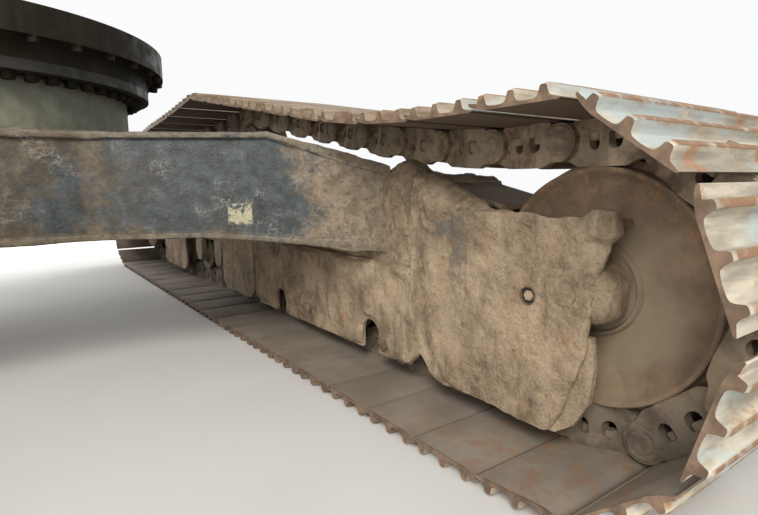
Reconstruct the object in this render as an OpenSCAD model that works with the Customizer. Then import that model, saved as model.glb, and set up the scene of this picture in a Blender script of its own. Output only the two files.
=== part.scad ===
// Crawler undercarriage of a 22 t excavator, long carriage with triple-lug shoes.
// Millimetres. X points forward to the idlers, Y to the left track, Z up.
// The origin lies on the ground under the slewing axis.

/* [Track chain] */
// Distance between neighbouring chain pins
pitch = 190.5; // [170:0.5:230]
// Number of links and shoes in one track
shoes = 49; // [47:1:51]
// Chain width over both strips of links
chain_w = 176; // [160:1:200]
// Thickness of one strip of links
link_w = 38; // [28:1:44]
// Height of the rail face from the pin centre
rail_h = 56; // [48:1:62]
// Distance from the pin centre to the shoe seat
foot_h = 41; // [36:1:50]
// Distance a link's foot ends short of its shoe's edge
foot_inset = 3; // [1:0.5:5]

/* [Track shoes] */
// Width of a shoe across the track
shoe_w = 710; // [500:10:900]
// Thickness of the shoe plate
shoe_t = 8; // [6:1:16]
// Height of the three lugs above the plate
lug_h = 23; // [14:1:32]
// Width of a lug's tip
lug_tip = 13; // [6:1:20]
// Distance from the middle lug to an outer lug
lug_step = 66; // [58:1:78]
// Gap between neighbouring shoes
shoe_gap = 6; // [5:0.5:12]

/* [Running gear] */
// Radius of the idler's tread
idler_tread = 245.7; // [236:0.1:254]
// Number of sprocket teeth, two to a link
sprocket_teeth = 21; // [19:2:23]
// Distance between the two track centres
gauge = 2380; // [2200:10:2600]
// Running gap between a wheel and the rail
rail_gap = 0.3; // [0.2:0.1:1]
// Number of bottom rollers in one track
rollers = 9; // [7:1:10]
// Distance between neighbouring bottom rollers
roller_step = 322; // [240:2:330]
// Radius of a bottom roller's tread
roller_r = 78; // [66:1:84]
// Height of a bottom roller's flanges above its tread
roller_flange = 16; // [10:1:20]
// Radius of a carrier roller's tread
carrier_r = 70; // [56:1:80]
// Height of the pin line over the front carrier roller
carry_z = 929; // [880:1:940]
// Height of the pin line over the rear carrier roller
carry_rear_z = 867; // [840:1:900]
// Place of the front carrier roller from the middle of the track
carrier_front = 36; // [0:4:200]
// Place of the rear carrier roller from the middle of the track
carrier_rear = -800; // [-900:10:-600]
// Length of the level run behind the idler's axle
level_len = 180; // [150:5:240]
// Length of the bend behind that level run
sag_len = 520; // [400:10:700]
// Sag of the upper run between the carrier rollers
mid_sag = 8; // [0:1:20]

/* [Idlers] */
// Radius of the idler's middle flange above its tread
idler_flange = 16; // [12:1:26]
// Width of the idler's middle flange
idler_flange_w = 84; // [60:1:96]
// Radius of the idler's hub
idler_hub_r = 78; // [60:1:100]
// Radius of the idler's axle
axle_r = 38; // [30:1:45]
// Width of the block that carries the idler's axle
yoke_block = 110; // [100:1:150]
// Thickness of a yoke arm
yoke_t = 56; // [40:1:62]
// Gap between the idler's rim and the yoke
yoke_gap = 12; // [8:1:30]

/* [Final drives] */
// Thickness of the sprocket's teeth
sprocket_t = 58; // [44:1:70]
// Height of a tooth tip above the pin circle
tooth_h = 14; // [8:1:18]
// Radius of a chain bushing
bushing_r = 29; // [24:1:32]
// Radius of the final drive's case
drive_r = 205; // [170:1:225]
// Distance the final drive's case stands out from the track centre
drive_out = 205; // [160:1:240]
// Radius of the travel motor
motor_r = 118; // [90:1:140]
// Length of the travel motor
motor_len = 230; // [150:1:280]

/* [Side frames] */
// Width of a side frame
frame_w = 300; // [260:2:320]
// Height of the side frame's flat top above the ground
frame_top = 622; // [570:1:650]
// Width of the side frame's flat top
frame_top_w = 250; // [200:2:256]
// Height of the sloping shoulder below the flat top
shoulder_h = 45; // [20:1:80]
// Gap between a roller's flange and the side frame's underside
frame_gap = 8; // [5:1:20]
// Distance from the idler's axle back to the side frame's end
frame_front = 450; // [420:5:480]
// Distance from the sprocket's axle forward to the side frame's end
frame_rear = 420; // [390:5:460]
// Length of the slope on top of the side frame's front end
nose_len = 150; // [100:10:400]
// Height the top loses along that slope
nose_drop = 20; // [10:5:60]
// Length of the cover plate over the idler's yoke
hood_len = 222; // [150:2:230]
// Height the cover plate loses towards the idler
hood_drop = 53; // [40:1:80]
// Length of the slope on top of the side frame's rear end
tail_len = 200; // [150:10:300]
// Height the top loses along that slope
tail_drop = 60; // [30:5:90]
// Thickness of the plates on the side frames
plate_t = 12; // [8:1:16]
// Height of the roller guards' lower edges
roller_guard_low = 84; // [64:1:150]
// Length of the front roller guards
front_guard_len = 1100; // [900:10:1110]
// Length of the middle roller guards
mid_guard_len = 400; // [300:5:600]
// Length of the rear roller guards
rear_guard_len = 500; // [400:5:600]
// Height of the arches in the roller guards
arch_h = 98; // [60:2:110]
// Half width of those arches
arch_r = 46; // [30:2:60]

/* [Idler guards] */
// Distance from the track centre to a guard plate's outer face
guard_y = 180; // [178:1:200]
// Height of a guard plate's lower edge
guard_low = 90; // [70:1:120]
// Height of a guard plate's top edge
guard_top = 527; // [500:1:560]
// Distance a guard plate's top reaches ahead of the idler's axle
guard_reach = 77; // [40:1:100]

/* [Legs] */
// Height of the legs' underside at the middle
leg_low = 442; // [430:1:490]
// Height of the legs' top at the middle
leg_top = 755; // [730:1:790]
// Height of the legs' underside at the side frames
leg_end_low = 402; // [390:1:450]
// Height of the legs' top at the side frames
leg_end_top = 642; // [610:1:680]
// Half width of the middle box, where the legs begin
centre_y = 330; // [280:5:380]
// Distance from the slewing axis to the middle box's front
centre_x = 530; // [480:5:600]
// Distance from the slewing axis to a leg's front face at the middle box
leg_root_front = 692; // [640:2:740]
// Distance from the slewing axis to a leg's back face at the middle box
leg_root_back = 300; // [240:2:360]
// Distance from the centre line to the bend in a leg
leg_bend_y = 736; // [660:2:800]
// Distance from the slewing axis to a leg's front face at its bend
leg_bend_front = 893; // [820:2:960]
// Distance from the slewing axis to a leg's back face at its bend
leg_bend_back = 560; // [480:2:640]
// Distance from the slewing axis to a leg's front face at the side frame
leg_end_front = 1228; // [1100:2:1300]
// Distance from the slewing axis to a leg's back face at the side frame
leg_end_back = 640; // [560:2:800]
// Distance a leg's top and bottom plates stand out past its webs
lip = 14; // [8:1:24]
// Thickness of a leg's top and bottom plates
lip_t = 18; // [12:1:24]

/* [Slewing ring] */
// Distance from the outer race's rim in to the tub's outer wall
tub_in = 138; // [128:2:158]
// Wall of the tub
tub_wall = 22; // [14:1:30]
// Height of the tub's flange above the ground
tub_top = 954; // [930:1:980]
// Thickness of the tub's flange
tub_flange_t = 30; // [20:1:40]
// Width of the tub's flange outside the tub
tub_flange_w = 80; // [60:1:84]
// Height of the slewing ring's inner race
race_h = 92; // [80:1:110]
// Thickness of the outer race from the gap to its outer face
race_wall = 54.5; // [48:0.5:62]
// Radius of the bearing balls
ball_r = 20; // [14:1:24]
// Gap between the two races
race_gap = 5; // [5:0.5:8]
// Clearance round the balls
ball_gap = 0.5; // [0.4:0.1:0.8]
// Outer radius of the outer race
outer_r = 718; // [700:1:730]
// Height of the outer race
outer_h = 84; // [70:1:96]
// Height the outer race stands above the inner race
race_step = 48; // [40:1:52]
// Number of bolts round the outer race
outer_bolts = 36; // [24:2:48]
// Radius of the outer race's bolt holes
outer_hole_r = 11.5; // [8:0.5:14]
// Number of bolts round the inner race
inner_bolts = 32; // [24:2:44]
// Radius of the bolt holes in the tub's flange
inner_hole_r = 11; // [8:0.5:13]
// Number of teeth inside the inner race
gear_teeth = 92; // [80:1:110]
// Thickness of the inner race outside its teeth
gear_wall = 139; // [125:1:145]

/* [Middle] */
// Radius of the well round the swivel joint
well_r = 300; // [270:5:310]
// Radius of the hole in the middle box's floor
belly_hole_r = 210; // [160:5:230]
// Width of the belly cover's rim round that hole
belly_rim = 60; // [30:5:70]
// Radius of the swivel joint's body
swivel_r = 92; // [70:1:110]
// Height of the swivel joint's body
swivel_h = 330; // [260:5:360]

/* [Hidden] */
$fn = 96;
tub_r = outer_r - tub_in;
half_pitch = pitch/2;
low_z = foot_h + shoe_t + lug_h;
// Each link on the idler turns by one step; the first pin past the bottom begins the lower run
idler_apo = idler_tread + rail_h + rail_gap;
idler_step = 2*atan(half_pitch/idler_apo);
idler_pin_r = norm([half_pitch, idler_apo]);
nose_links = ceil(180/idler_step - 0.5);
past_bottom = (nose_links + 0.5)*idler_step - 180;
idler_z = low_z + idler_pin_r*cos(past_bottom);
idler_top = idler_z + idler_apo;
sprocket_step = 720/sprocket_teeth;
sprocket_pin_r = half_pitch/sin(sprocket_step/2);
sprocket_z = low_z + sprocket_pin_r;
rise = carry_z - idler_top;

// Stretches of one pin loop for a tumbler distance t, begun under the idler: lower run,
// sprocket, rear slope, middle, front slope, bend, level run, idler's front
function slope_angle(t) = let(dx = carrier_rear + t/2, dz = carry_rear_z - sprocket_z)
    atan2(dz, dx) - asin(sprocket_pin_r/norm([dx, dz]));
function front_line(t) = t/2 - level_len - sag_len - carrier_front;
function fall(t) = rise/(sag_len/2 + front_line(t));
function stretches(t) = let(m = fall(t), a = slope_angle(t),
    d = norm([carrier_rear + t/2, carry_rear_z - sprocket_z]))
    [t - idler_pin_r*sin(past_bottom),
     (180 - a)/sprocket_step*pitch,
     sqrt(d*d - sprocket_pin_r*sprocket_pin_r),
     norm([carrier_front - carrier_rear, carry_z - carry_rear_z]),
     front_line(t)*sqrt(1 + m*m),
     sag_len*(1 + m*m/6),
     level_len + half_pitch,
     nose_links*pitch];
function total(v, n) = n == 0 ? 0 : v[n-1] + total(v, n-1);
function closed(t, n) = n == 0 ? t : closed(t - (total(stretches(t), 8) - shoes*pitch)/2, n-1);

// The tumbler distance at which the loop closes with all its shoes
tumblers = closed(shoes*pitch*0.39, 3);
runs = stretches(tumblers);
loop_len = total(runs, 8);
slope_a = slope_angle(tumblers);
m_fall = fall(tumblers);
idler_x = tumblers/2;
sprocket_x = -tumblers/2;

// Point on the pin loop at the length s
function on_loop(s, k=0) = k < 7 && s >= runs[k] ? on_loop(s - runs[k], k+1) :
    k == 0 ? [idler_x - idler_pin_r*sin(past_bottom) - s, low_z] :
    k == 1 ? let(a = s/pitch*sprocket_step)
        [sprocket_x - sprocket_pin_r*sin(a), sprocket_z - sprocket_pin_r*cos(a)] :
    k == 2 ? [sprocket_x - sprocket_pin_r*sin(slope_a) + s*cos(slope_a),
        sprocket_z + sprocket_pin_r*cos(slope_a) + s*sin(slope_a)] :
    k == 3 ? let(f = s/runs[3]) [carrier_rear + f*(carrier_front - carrier_rear),
        carry_rear_z + f*(carry_z - carry_rear_z) - 4*mid_sag*f*(1 - f)] :
    k == 4 ? let(f = s/runs[4]*front_line(tumblers)) [carrier_front + f, carry_z - m_fall*f] :
    k == 5 ? let(r = (runs[5] - s)*(1 - pow(m_fall*(runs[5] - s)/sag_len, 2)/6))
        [idler_x - level_len - r, idler_top + m_fall/(2*sag_len)*r*r] :
    k == 6 ? [idler_x - level_len + s, idler_top] :
    let(a = idler_step/2 + s/pitch*idler_step)
        [idler_x + idler_pin_r*sin(a), idler_z + idler_pin_r*cos(a)];
pins = [for (i = [0:shoes-1]) on_loop(i*loop_len/shoes)];
function pin(i) = pins[i % shoes];
function link_mid(i) = (pin(i) + pin(i+1))/2;
function link_angle(i) = let(d = pin(i+1) - pin(i)) atan2(d[1], d[0]);

// Angle of the sprocket's first gap behind the loop's lower tangent
first_gap = let(n = ceil(runs[0]/(loop_len/shoes)))
    (n*loop_len/shoes - runs[0])/pitch*sprocket_step;

// The tracks' ends lie at equal distances from the slewing axis
lug_end = lug_step + lug_tip/2;
function lug_x(i, side) = let(a = link_angle(i))
    link_mid(i)[0] + side*lug_end*cos(a) - low_z*sin(a);
ends = [for (i = [0:shoes-1]) for (side = [-1, 1]) lug_x(i, side)];
track_shift = -(max(ends) + min(ends))/2;

// Profiles of one shoe and one link, along the link and out towards the ground
shoe_half = (pitch - shoe_gap)/2;
valley = foot_h + shoe_t;
shoe_profile = [[-shoe_half, foot_h], [shoe_half, foot_h],
    for (n = [1, 0, -1]) each [[n*lug_step + lug_tip/2, low_z], [n*lug_step - lug_tip/2, low_z],
        if (n > -1) [(n - 0.5)*lug_step, valley]]];
seat_gap = 0.3;
function along(i) = [cos(link_angle(i)), sin(link_angle(i))];
function out(i) = [-sin(link_angle(i)), cos(link_angle(i))];
function rail_corner(i) = let(a = out(i + shoes - 1), b = out(i))
    pin(i) - rail_h*(a + b)/(1 + a*b);
feet = [for (i = [0:shoes-1]) for (side = [-1, 1])
    link_mid(i) + side*(shoe_half - foot_inset)*along(i) + (foot_h - seat_gap)*out(i)];
rail = [for (i = [0:shoes-1]) rail_corner(i)];
strip_y = (chain_w - link_w)/2;

// Heights and places that follow from the chain
roller_z = low_z + rail_h + rail_gap + roller_r;
frame_low = roller_z + roller_r + roller_flange + frame_gap;
// Axle height that brings a carrier roller at x up under the links near it
function carrier_z(x) = min([for (i = [0:shoes-1])
    if (pin(i)[1] > sprocket_z && abs(link_mid(i)[0] - x) < 1.5*pitch)
        pin(i)[1] + (x - pin(i)[0])*tan(link_angle(i))
        - (rail_h + rail_gap + carrier_r)/cos(link_angle(i))]);
rim_half = chain_w/2 + 3;
frame_x0 = sprocket_x + frame_rear;
frame_x1 = idler_x - frame_front;
idler_rim = idler_tread + idler_flange;
wall_y = gauge/2 - frame_w/2;
shoulder_w = (frame_w - frame_top_w)/2;
race_low = tub_top + seat_gap;
race_top = race_low + race_h;
outer_low = race_top + race_step - outer_h;
outer_top = outer_low + outer_h;
ball_z = (outer_low + race_top)/2;
ball_track_r = outer_r - race_wall - race_gap/2;
outer_bolt_r = (ball_track_r + ball_r + outer_r)/2;
inner_race_out = ball_track_r - race_gap/2;
gear_root_r = inner_race_out - gear_wall;
gear_module = 2*gear_root_r/(gear_teeth + 2.5);
gear_tip_r = gear_root_r - 2.25*gear_module;
tub_flange_r = tub_r + tub_flange_w;
inner_bolt_r = (gear_root_r + gear_wall - ball_r + tub_r)/2;

paint = "#4a5258";
mud = "#8f7a60";
rust = "#7d5540";
steel = "#6b6259";
dark = "#2e2f2d";

// Ring of holes about the slewing axis
module hole_ring(count, radius, r, z, h) for (i = [0:count-1]) rotate(i*360/count)
    translate([radius, 0, z]) cylinder(r = r, h = h, $fn = 24);

// Places a piece drawn about its track's centre on the left or the right
module on_left() translate([track_shift, gauge/2, 0]) children();
module on_right() mirror([0, 1, 0]) on_left() children();

// Upright slab from an outline in X and Z, centred on y
module slab(y, w) translate([0, y, 0]) rotate([90, 0, 0])
    linear_extrude(height = w, center = true) children();

// Round bar along Y
module bar(x, y, z, r, len) translate([x, y, z]) rotate([90, 0, 0])
    cylinder(r = r, h = len, center = true);

// Tracks
module track_shoes() color(rust) for (i = [0:shoes-1])
    slab(0, shoe_w) translate(link_mid(i)) rotate(link_angle(i)) polygon(shoe_profile);

// Each strip is one closed band: a rail face to every link, a foot under every shoe
module track_chain() color(steel) for (side = [-1, 1]) slab(side*strip_y, link_w) difference() {
    polygon(feet);
    polygon(rail);
}

// Idler with its hub, tread and middle flange
module idler() color(rust) translate([idler_x, 0, idler_z]) rotate([90, 0, 0]) rotate_extrude()
    polygon([[axle_r + seat_gap, -rim_half - 12], [idler_hub_r, -rim_half - 12],
        [idler_hub_r, -rim_half + 6], [idler_hub_r + 20, -rim_half + 12],
        [idler_tread - 16, -rim_half + 4], [idler_tread - 8, -rim_half], [idler_tread, -rim_half],
        [idler_tread, -idler_flange_w/2 - 6], [idler_rim, -idler_flange_w/2],
        [idler_rim, idler_flange_w/2], [idler_tread, idler_flange_w/2 + 6],
        [idler_tread, rim_half], [idler_tread - 8, rim_half], [idler_tread - 16, rim_half - 4],
        [idler_hub_r + 20, rim_half - 12], [idler_hub_r, rim_half - 6],
        [idler_hub_r, rim_half + 12], [axle_r + seat_gap, rim_half + 12]]);

yoke_y0 = rim_half + 12 + 2;
yoke_back = idler_x - idler_rim - yoke_gap;
head_t = 60;
module idler_yoke() color(mud) {
    bar(idler_x, 0, idler_z, axle_r, 2*(yoke_y0 + yoke_t));
    for (side = [-1, 1]) {
        slab(side*(yoke_y0 + yoke_t/2), yoke_t) difference() {
            union() {
                translate([idler_x, idler_z]) polygon([[-yoke_block/2, -yoke_block/2],
                    [yoke_block*0.15, -yoke_block/2], [yoke_block*0.6, -yoke_block*0.42],
                    [yoke_block*0.75, -yoke_block*0.24], [yoke_block*0.75, yoke_block*0.24],
                    [yoke_block*0.6, yoke_block*0.42], [yoke_block*0.15, yoke_block/2],
                    [-yoke_block/2, yoke_block/2]]);
                translate([yoke_back - head_t, idler_z - 45])
                    square([idler_x - yoke_back + head_t, 90]);
            }
            translate([idler_x, idler_z]) circle(r = axle_r - 1);
        }
    }
    translate([yoke_back - head_t, -yoke_y0 - 1, idler_z - 60]) cube([head_t, 2*yoke_y0 + 2, 120]);
    translate([frame_x1 + seat_gap, 0, idler_z]) rotate([0, 90, 0])
        cylinder(r = 46, h = yoke_back - head_t - frame_x1 - seat_gap + 1);
}

// Guard plates that house the idler's sliding blocks
guide_h = 26;
guard_x = idler_x + guard_reach;
plug_x = guard_x - 168;
plug_r = 17;
guard_front = [[guard_x, guard_top], [guard_x, guard_top - 20], [guard_x - 28, idler_z + 16],
    [guard_x - 37, idler_z - 64], [guard_x - 41, idler_z - 125], [guard_x - 61, idler_z - 181],
    [guard_x - 85, guard_low + 49], [guard_x - 127, guard_low]];
guard_back = [[frame_x1 + 90, guard_low], [frame_x1 + 50, guard_low + 16],
    [frame_x1 + 8, guard_low + 62], [frame_x1 - 26, idler_z - 96], [frame_x1 - 30, guard_top]];
// Inner skirt that keeps stones off the idler's rim below its guide, in X and Z
skirt_top = idler_z - yoke_block/2 - guide_h;
skirt = [[frame_x1 + 60, skirt_top], [guard_x - 25, skirt_top], [guard_x - 17, skirt_top - 60],
    [guard_x - 26, guard_low + 75], [guard_x - 57, guard_low + 22], [guard_x - 100, guard_low - 8],
    [frame_x1 + 110, guard_low - 8], [frame_x1 + 60, guard_low + 40]];
skirt_t = 14;
module idler_guards() color(mud) for (side = [-1, 1]) {
    difference() {
        slab(side*(guard_y - plate_t/2), plate_t)
            polygon([each guard_front, each guard_back]);
        bar(plug_x, side*guard_y, idler_z - 20, plug_r, 4*plate_t);
    }
    slab(side*(guard_y - plate_t - skirt_t/2 + 1), skirt_t) polygon(skirt);
    bar(idler_x, side*(guard_y + 3), idler_z, 24, 8);
    // top shelf and the two guides of the sliding block
    translate([frame_x1 + seat_gap, min(side*(yoke_y0 - 8), side*(guard_y - 1)), guard_top - plate_t])
        cube([frame_front + guard_reach + 4, guard_y - yoke_y0 + 7, plate_t]);
    for (up = [-1, 1])
        translate([frame_x1 + seat_gap, min(side*(yoke_y0 + 10), side*(guard_y - plate_t + 1)),
            idler_z + up*(yoke_block/2 + seat_gap) - (up < 0 ? guide_h : 0)])
            cube([frame_front, guard_y - plate_t - yoke_y0 - 9, guide_h]);
    // filler block between the guard plate and the side frame
    translate([frame_x1 - 30, min(side*(frame_w/2 + seat_gap), side*(guard_y - plate_t + 1)), frame_low + 20])
        cube([30, guard_y - plate_t + 1 - frame_w/2 - seat_gap, frame_top - shoulder_h - frame_low - 60]);
}

// Side frame: a closed box with sloping shoulders and a bracket for the final drive
module frame_section(o = 0) polygon([[-frame_w/2 - o, frame_low - o], [frame_w/2 + o, frame_low - o],
    [frame_w/2 + o, frame_top - shoulder_h + o], [frame_top_w/2 + o, frame_top + o],
    [-frame_top_w/2 - o, frame_top + o], [-frame_w/2 - o, frame_top - shoulder_h + o]]);
hood_top = frame_top - nose_drop - 3;
bracket_t = 40;
bracket_y = -frame_w/2 + bracket_t/2;
bracket_r = 250;
module side_frame() color(mud) {
    difference() {
        translate([frame_x0, 0, 0]) rotate([90, 0, 90])
            linear_extrude(height = frame_x1 - frame_x0) frame_section();
        // both ends fall away under the upper run
        slab(0, 2*frame_w) polygon([[frame_x1 - nose_len, frame_top + 1],
            [frame_x1 + 1, frame_top - nose_drop], [frame_x1 + 1, frame_top + 1]]);
        slab(0, 2*frame_w) polygon([[frame_x0 + tail_len, frame_top + 1],
            [frame_x0 - 1, frame_top - tail_drop], [frame_x0 - 1, frame_top + 1]]);
    }
    // cover plate over the yoke, down towards the idler's rim
    slab(0, chain_w + link_w) polygon([[frame_x1 - 1, hood_top - plate_t], [frame_x1 - 1, hood_top],
        [frame_x1 + hood_len, hood_top - hood_drop], [frame_x1 + hood_len, hood_top - hood_drop - plate_t]]);
    difference() {
        slab(bracket_y, bracket_t) union() {
            translate([sprocket_x, sprocket_z]) circle(r = bracket_r);
            polygon([[sprocket_x, sprocket_z - bracket_r], [frame_x0 + 1, frame_low],
                [frame_x0 + 1, frame_top - tail_drop - 2], [sprocket_x, sprocket_z + bracket_r]]);
        }
        bar(sprocket_x, bracket_y, sprocket_z, motor_r + 12, 2*bracket_t);
    }
}

// Rollers
module roller(r, f, half) rotate([90, 0, 0]) rotate_extrude() polygon([[0, -half - 17],
    [r - 26, -half - 17], [r - 26, -half], [r + f - 4, -half], [r + f, -half + 4],
    [r + f, -half + 11], [r, -half + 15], [r, -half + 57], [r - 8, -half + 60],
    [r - 8, half - 60], [r, half - 57], [r, half - 15], [r + f, half - 11],
    [r + f, half - 4], [r + f - 4, half], [r - 26, half], [r - 26, half + 17], [0, half + 17]]);
roller_x0 = -(rollers - 1)*roller_step/2;
roller_half = chain_w/2 + 17;
collar_y = roller_half + 16;
collar_t = frame_w/2 - 2 - collar_y;
module bottom_rollers() color(steel) for (i = [0:rollers-1])
    translate([roller_x0 + i*roller_step, 0, 0]) {
        translate([0, 0, roller_z]) roller(roller_r, roller_flange, roller_half);
        // shaft collars under the side frame
        for (side = [-1, 1]) slab(side*(collar_y + collar_t/2), collar_t)
            polygon([[-52, frame_low - seat_gap], [-52, roller_z + 10], [-34, roller_z - 34],
                [34, roller_z - 34], [52, roller_z + 10], [52, frame_low - seat_gap]]);
    }

carrier_half = chain_w/2 - 4;
post_t = 26;
post_y = -(frame_top_w - post_t)/2 + 1;
module carrier_rollers() color(steel) for (x = [carrier_front, carrier_rear]) let(z = carrier_z(x)) {
    translate([x, 0, z]) rotate([90, 0, 0]) rotate_extrude() polygon([[0, -carrier_half],
        [carrier_r - 24, -carrier_half], [carrier_r - 12, -carrier_half + 8], [carrier_r, -carrier_half + 8],
        [carrier_r, -carrier_half + 50], [carrier_r - 10, -carrier_half + 56],
        [carrier_r - 10, carrier_half - 56], [carrier_r, carrier_half - 50],
        [carrier_r, carrier_half - 8], [carrier_r - 12, carrier_half - 8],
        [carrier_r - 24, carrier_half], [carrier_r - 34, carrier_half],
        [carrier_r - 34, carrier_half + 12], [0, carrier_half + 12]]);
    // shaft and the post that holds it on the side frame
    bar(x, (post_y - carrier_half)/2, z, 30, 2 - post_y - carrier_half);
    slab(post_y, post_t) union() {
        translate([x, z]) circle(r = 48);
        polygon([[x - 75, frame_top + seat_gap], [x + 75, frame_top + seat_gap],
            [x + 47, z], [x - 47, z]]);
    }
}

// Plates beside the front rollers and in the middle
guard_end = frame_front/10;
guard_runs = [[frame_x1 - guard_end - front_guard_len, frame_x1 - guard_end], // from, to
    [-mid_guard_len/2, mid_guard_len/2],
    [frame_x0 + guard_end, frame_x0 + guard_end + rear_guard_len]];
module roller_guards() color(mud) for (run = guard_runs) for (side = [-1, 1])
    let(x0 = run[0], x1 = run[1])
    slab(side*(frame_w/2 + seat_gap + plate_t/2), plate_t) difference() {
        polygon([[x0, frame_low + 60], [x1, frame_low + 60], [x1, roller_guard_low + 40],
            [x1 - 40, roller_guard_low], [x0 + 40, roller_guard_low], [x0, roller_guard_low + 40]]);
        // arches that let mud out, one to every second gap between rollers
        for (i = [rollers-2:-2:0]) let(x = roller_x0 + (i + 0.5)*roller_step)
            if (x > x0 + 1.5*arch_r && x < x1 - 1.5*arch_r) {
                translate([x, roller_guard_low + arch_h - arch_r]) circle(r = arch_r);
                translate([x - arch_r, roller_guard_low - 1]) square([2*arch_r, arch_h - arch_r + 1]);
            }
    }

// Sprocket, final drive and travel motor
module sprocket() color(steel) translate([sprocket_x, 0, sprocket_z]) rotate([90, 0, 0])
    difference() {
        cylinder(r = sprocket_pin_r + tooth_h, h = sprocket_t, center = true);
        for (i = [0:sprocket_teeth-1]) rotate(-90 - first_gap + i*360/sprocket_teeth) {
            translate([sprocket_pin_r, 0, 0])
                cylinder(r = bushing_r + rail_gap, h = sprocket_t + 2, center = true, $fn = 32);
            linear_extrude(height = sprocket_t + 2, center = true)
                polygon([[sprocket_pin_r, -bushing_r*0.98], [sprocket_pin_r + tooth_h + 2, -bushing_r*1.32],
                    [sprocket_pin_r + tooth_h + 2, bushing_r*1.32], [sprocket_pin_r, bushing_r*0.98]]);
        }
        cylinder(r = drive_r - 22, h = sprocket_t + 2, center = true);
    }

drive_back = -frame_w/2 + bracket_t + seat_gap;
module final_drive() color(mud) translate([sprocket_x, 0, sprocket_z]) rotate([-90, 0, 0])
    rotate_extrude() polygon([[0, drive_back], [bracket_r - 12, drive_back],
        [bracket_r - 12, drive_back + 22], [drive_r - 8, drive_back + 30],
        [drive_r - 8, -sprocket_t/2 - 22], [drive_r + 40, -sprocket_t/2 - 22],
        [drive_r + 40, -sprocket_t/2 - seat_gap], [drive_r - 22 - seat_gap, -sprocket_t/2 - seat_gap],
        [drive_r - 22 - seat_gap, sprocket_t/2 + 12], [drive_r - 34, drive_out - 40],
        [drive_r - 62, drive_out - 8], [drive_r - 74, drive_out], [0, drive_out]]);

module travel_motor() color(steel) translate([sprocket_x, 0, sprocket_z]) rotate([90, 0, 0]) {
    translate([0, 0, -drive_back + seat_gap]) rotate_extrude() polygon([[0, 0], [motor_r, 0],
        [motor_r, bracket_t + 70], [motor_r - 14, bracket_t + 84], [motor_r - 14, motor_len - 20],
        [motor_r - 34, motor_len], [0, motor_len]]);
}

cover_r = motor_r + 46;
cover_len = motor_len - bracket_t + 30;
module motor_cover() color(mud) slab(-frame_w/2 - seat_gap - cover_len/2, cover_len) difference() {
    union() {
        translate([sprocket_x, sprocket_z]) circle(r = cover_r);
        translate([sprocket_x, sprocket_z - cover_r]) square([cover_r + 60, 2*cover_r]);
    }
    translate([sprocket_x, sprocket_z]) circle(r = cover_r - plate_t);
    translate([sprocket_x, sprocket_z - cover_r + plate_t])
        square([cover_r + 61, 2*cover_r - 2*plate_t]);
}

// Step on the side frame's outer wall
step_len = 320;
step_out = 110;
module step() color(mud) translate([-step_len/2, frame_w/2 + seat_gap, frame_top - shoulder_h - 66]) {
    cube([step_len, 8, 60]);
    translate([0, 0, 52]) cube([step_len, step_out, 8]);
    for (x = [0, step_len - 10]) translate([x, 0, 0]) rotate([90, 0, 90])
        linear_extrude(height = 10) polygon([[0, 0], [7, 0], [step_out, 52], [step_out, 60], [0, 60]]);
}

// Middle box and legs
function leg_plan(o) = [[leg_root_front + o, centre_y + seat_gap],
    [leg_bend_front + o, leg_bend_y], [leg_end_front + o, wall_y + shoulder_w],
    [leg_end_back - o, wall_y + shoulder_w], [leg_bend_back - o, leg_bend_y],
    [leg_root_back - o, centre_y + seat_gap]];
// Side views of a leg, in Y and Z: its upper and lower faces, and bands of them
slope_y = leg_bend_y + 49;
drop_y = leg_bend_y - 120;
leg_upper = [[0, leg_top], [slope_y, leg_top], [wall_y, leg_end_top],
    [wall_y + shoulder_w + 1, frame_top]];
leg_lower = [[0, leg_low], [drop_y, leg_low], [wall_y, leg_end_low],
    [wall_y + shoulder_w + 1, leg_end_low]];
function band(line, t) = [each line, for (i = [len(line)-1:-1:0]) line[i] + [0, t]];
leg_body = [for (p = leg_lower) p + [0, 1], for (i = [3:-1:0]) leg_upper[i] - [0, 1]];
leg_reach = leg_end_front + 2*lip;
module along_x(points) rotate([90, 0, 90]) linear_extrude(height = leg_reach) polygon(points);
module leg() color(paint) difference() {
    union() {
        intersection() {
            linear_extrude(height = leg_top + lip) polygon(leg_plan(0));
            along_x(leg_body);
        }
        for (face = [band(leg_upper, -lip_t), band(leg_lower, lip_t)]) intersection() {
            linear_extrude(height = leg_top + lip) polygon(leg_plan(lip));
            along_x(face);
        }
    }
    // the side frame's wall and shoulder
    translate([0, gauge/2, 0]) rotate([90, 0, 90]) linear_extrude(height = leg_reach)
        frame_section(seat_gap);
}

centre_nose = 0.43*(leg_root_front - centre_x);
function half_centre() = [[centre_x, 0], [centre_x + centre_nose, 144], [leg_root_front, centre_y]];
centre_plan = [each half_centre(), for (i = [2:-1:0]) [-half_centre()[i][0], half_centre()[i][1]],
    for (i = [1, 2]) [-half_centre()[i][0], -half_centre()[i][1]],
    for (i = [2, 1]) [half_centre()[i][0], -half_centre()[i][1]]];
module carbody_center() color(paint) difference() {
    translate([0, 0, leg_low]) linear_extrude(height = leg_top - leg_low) polygon(centre_plan);
    translate([0, 0, leg_low + lip_t]) cylinder(r = well_r, h = leg_top);
    translate([0, 0, leg_low - 1]) cylinder(r = belly_hole_r, h = lip_t + 2);
}

cover_t = 10;
module belly_cover() color(mud) translate([0, 0, leg_low - seat_gap - cover_t]) difference() {
    cylinder(r = belly_hole_r + belly_rim, h = cover_t);
    translate([0, 0, -1]) cylinder(r = swivel_r/2, h = cover_t + 2);
}

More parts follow.
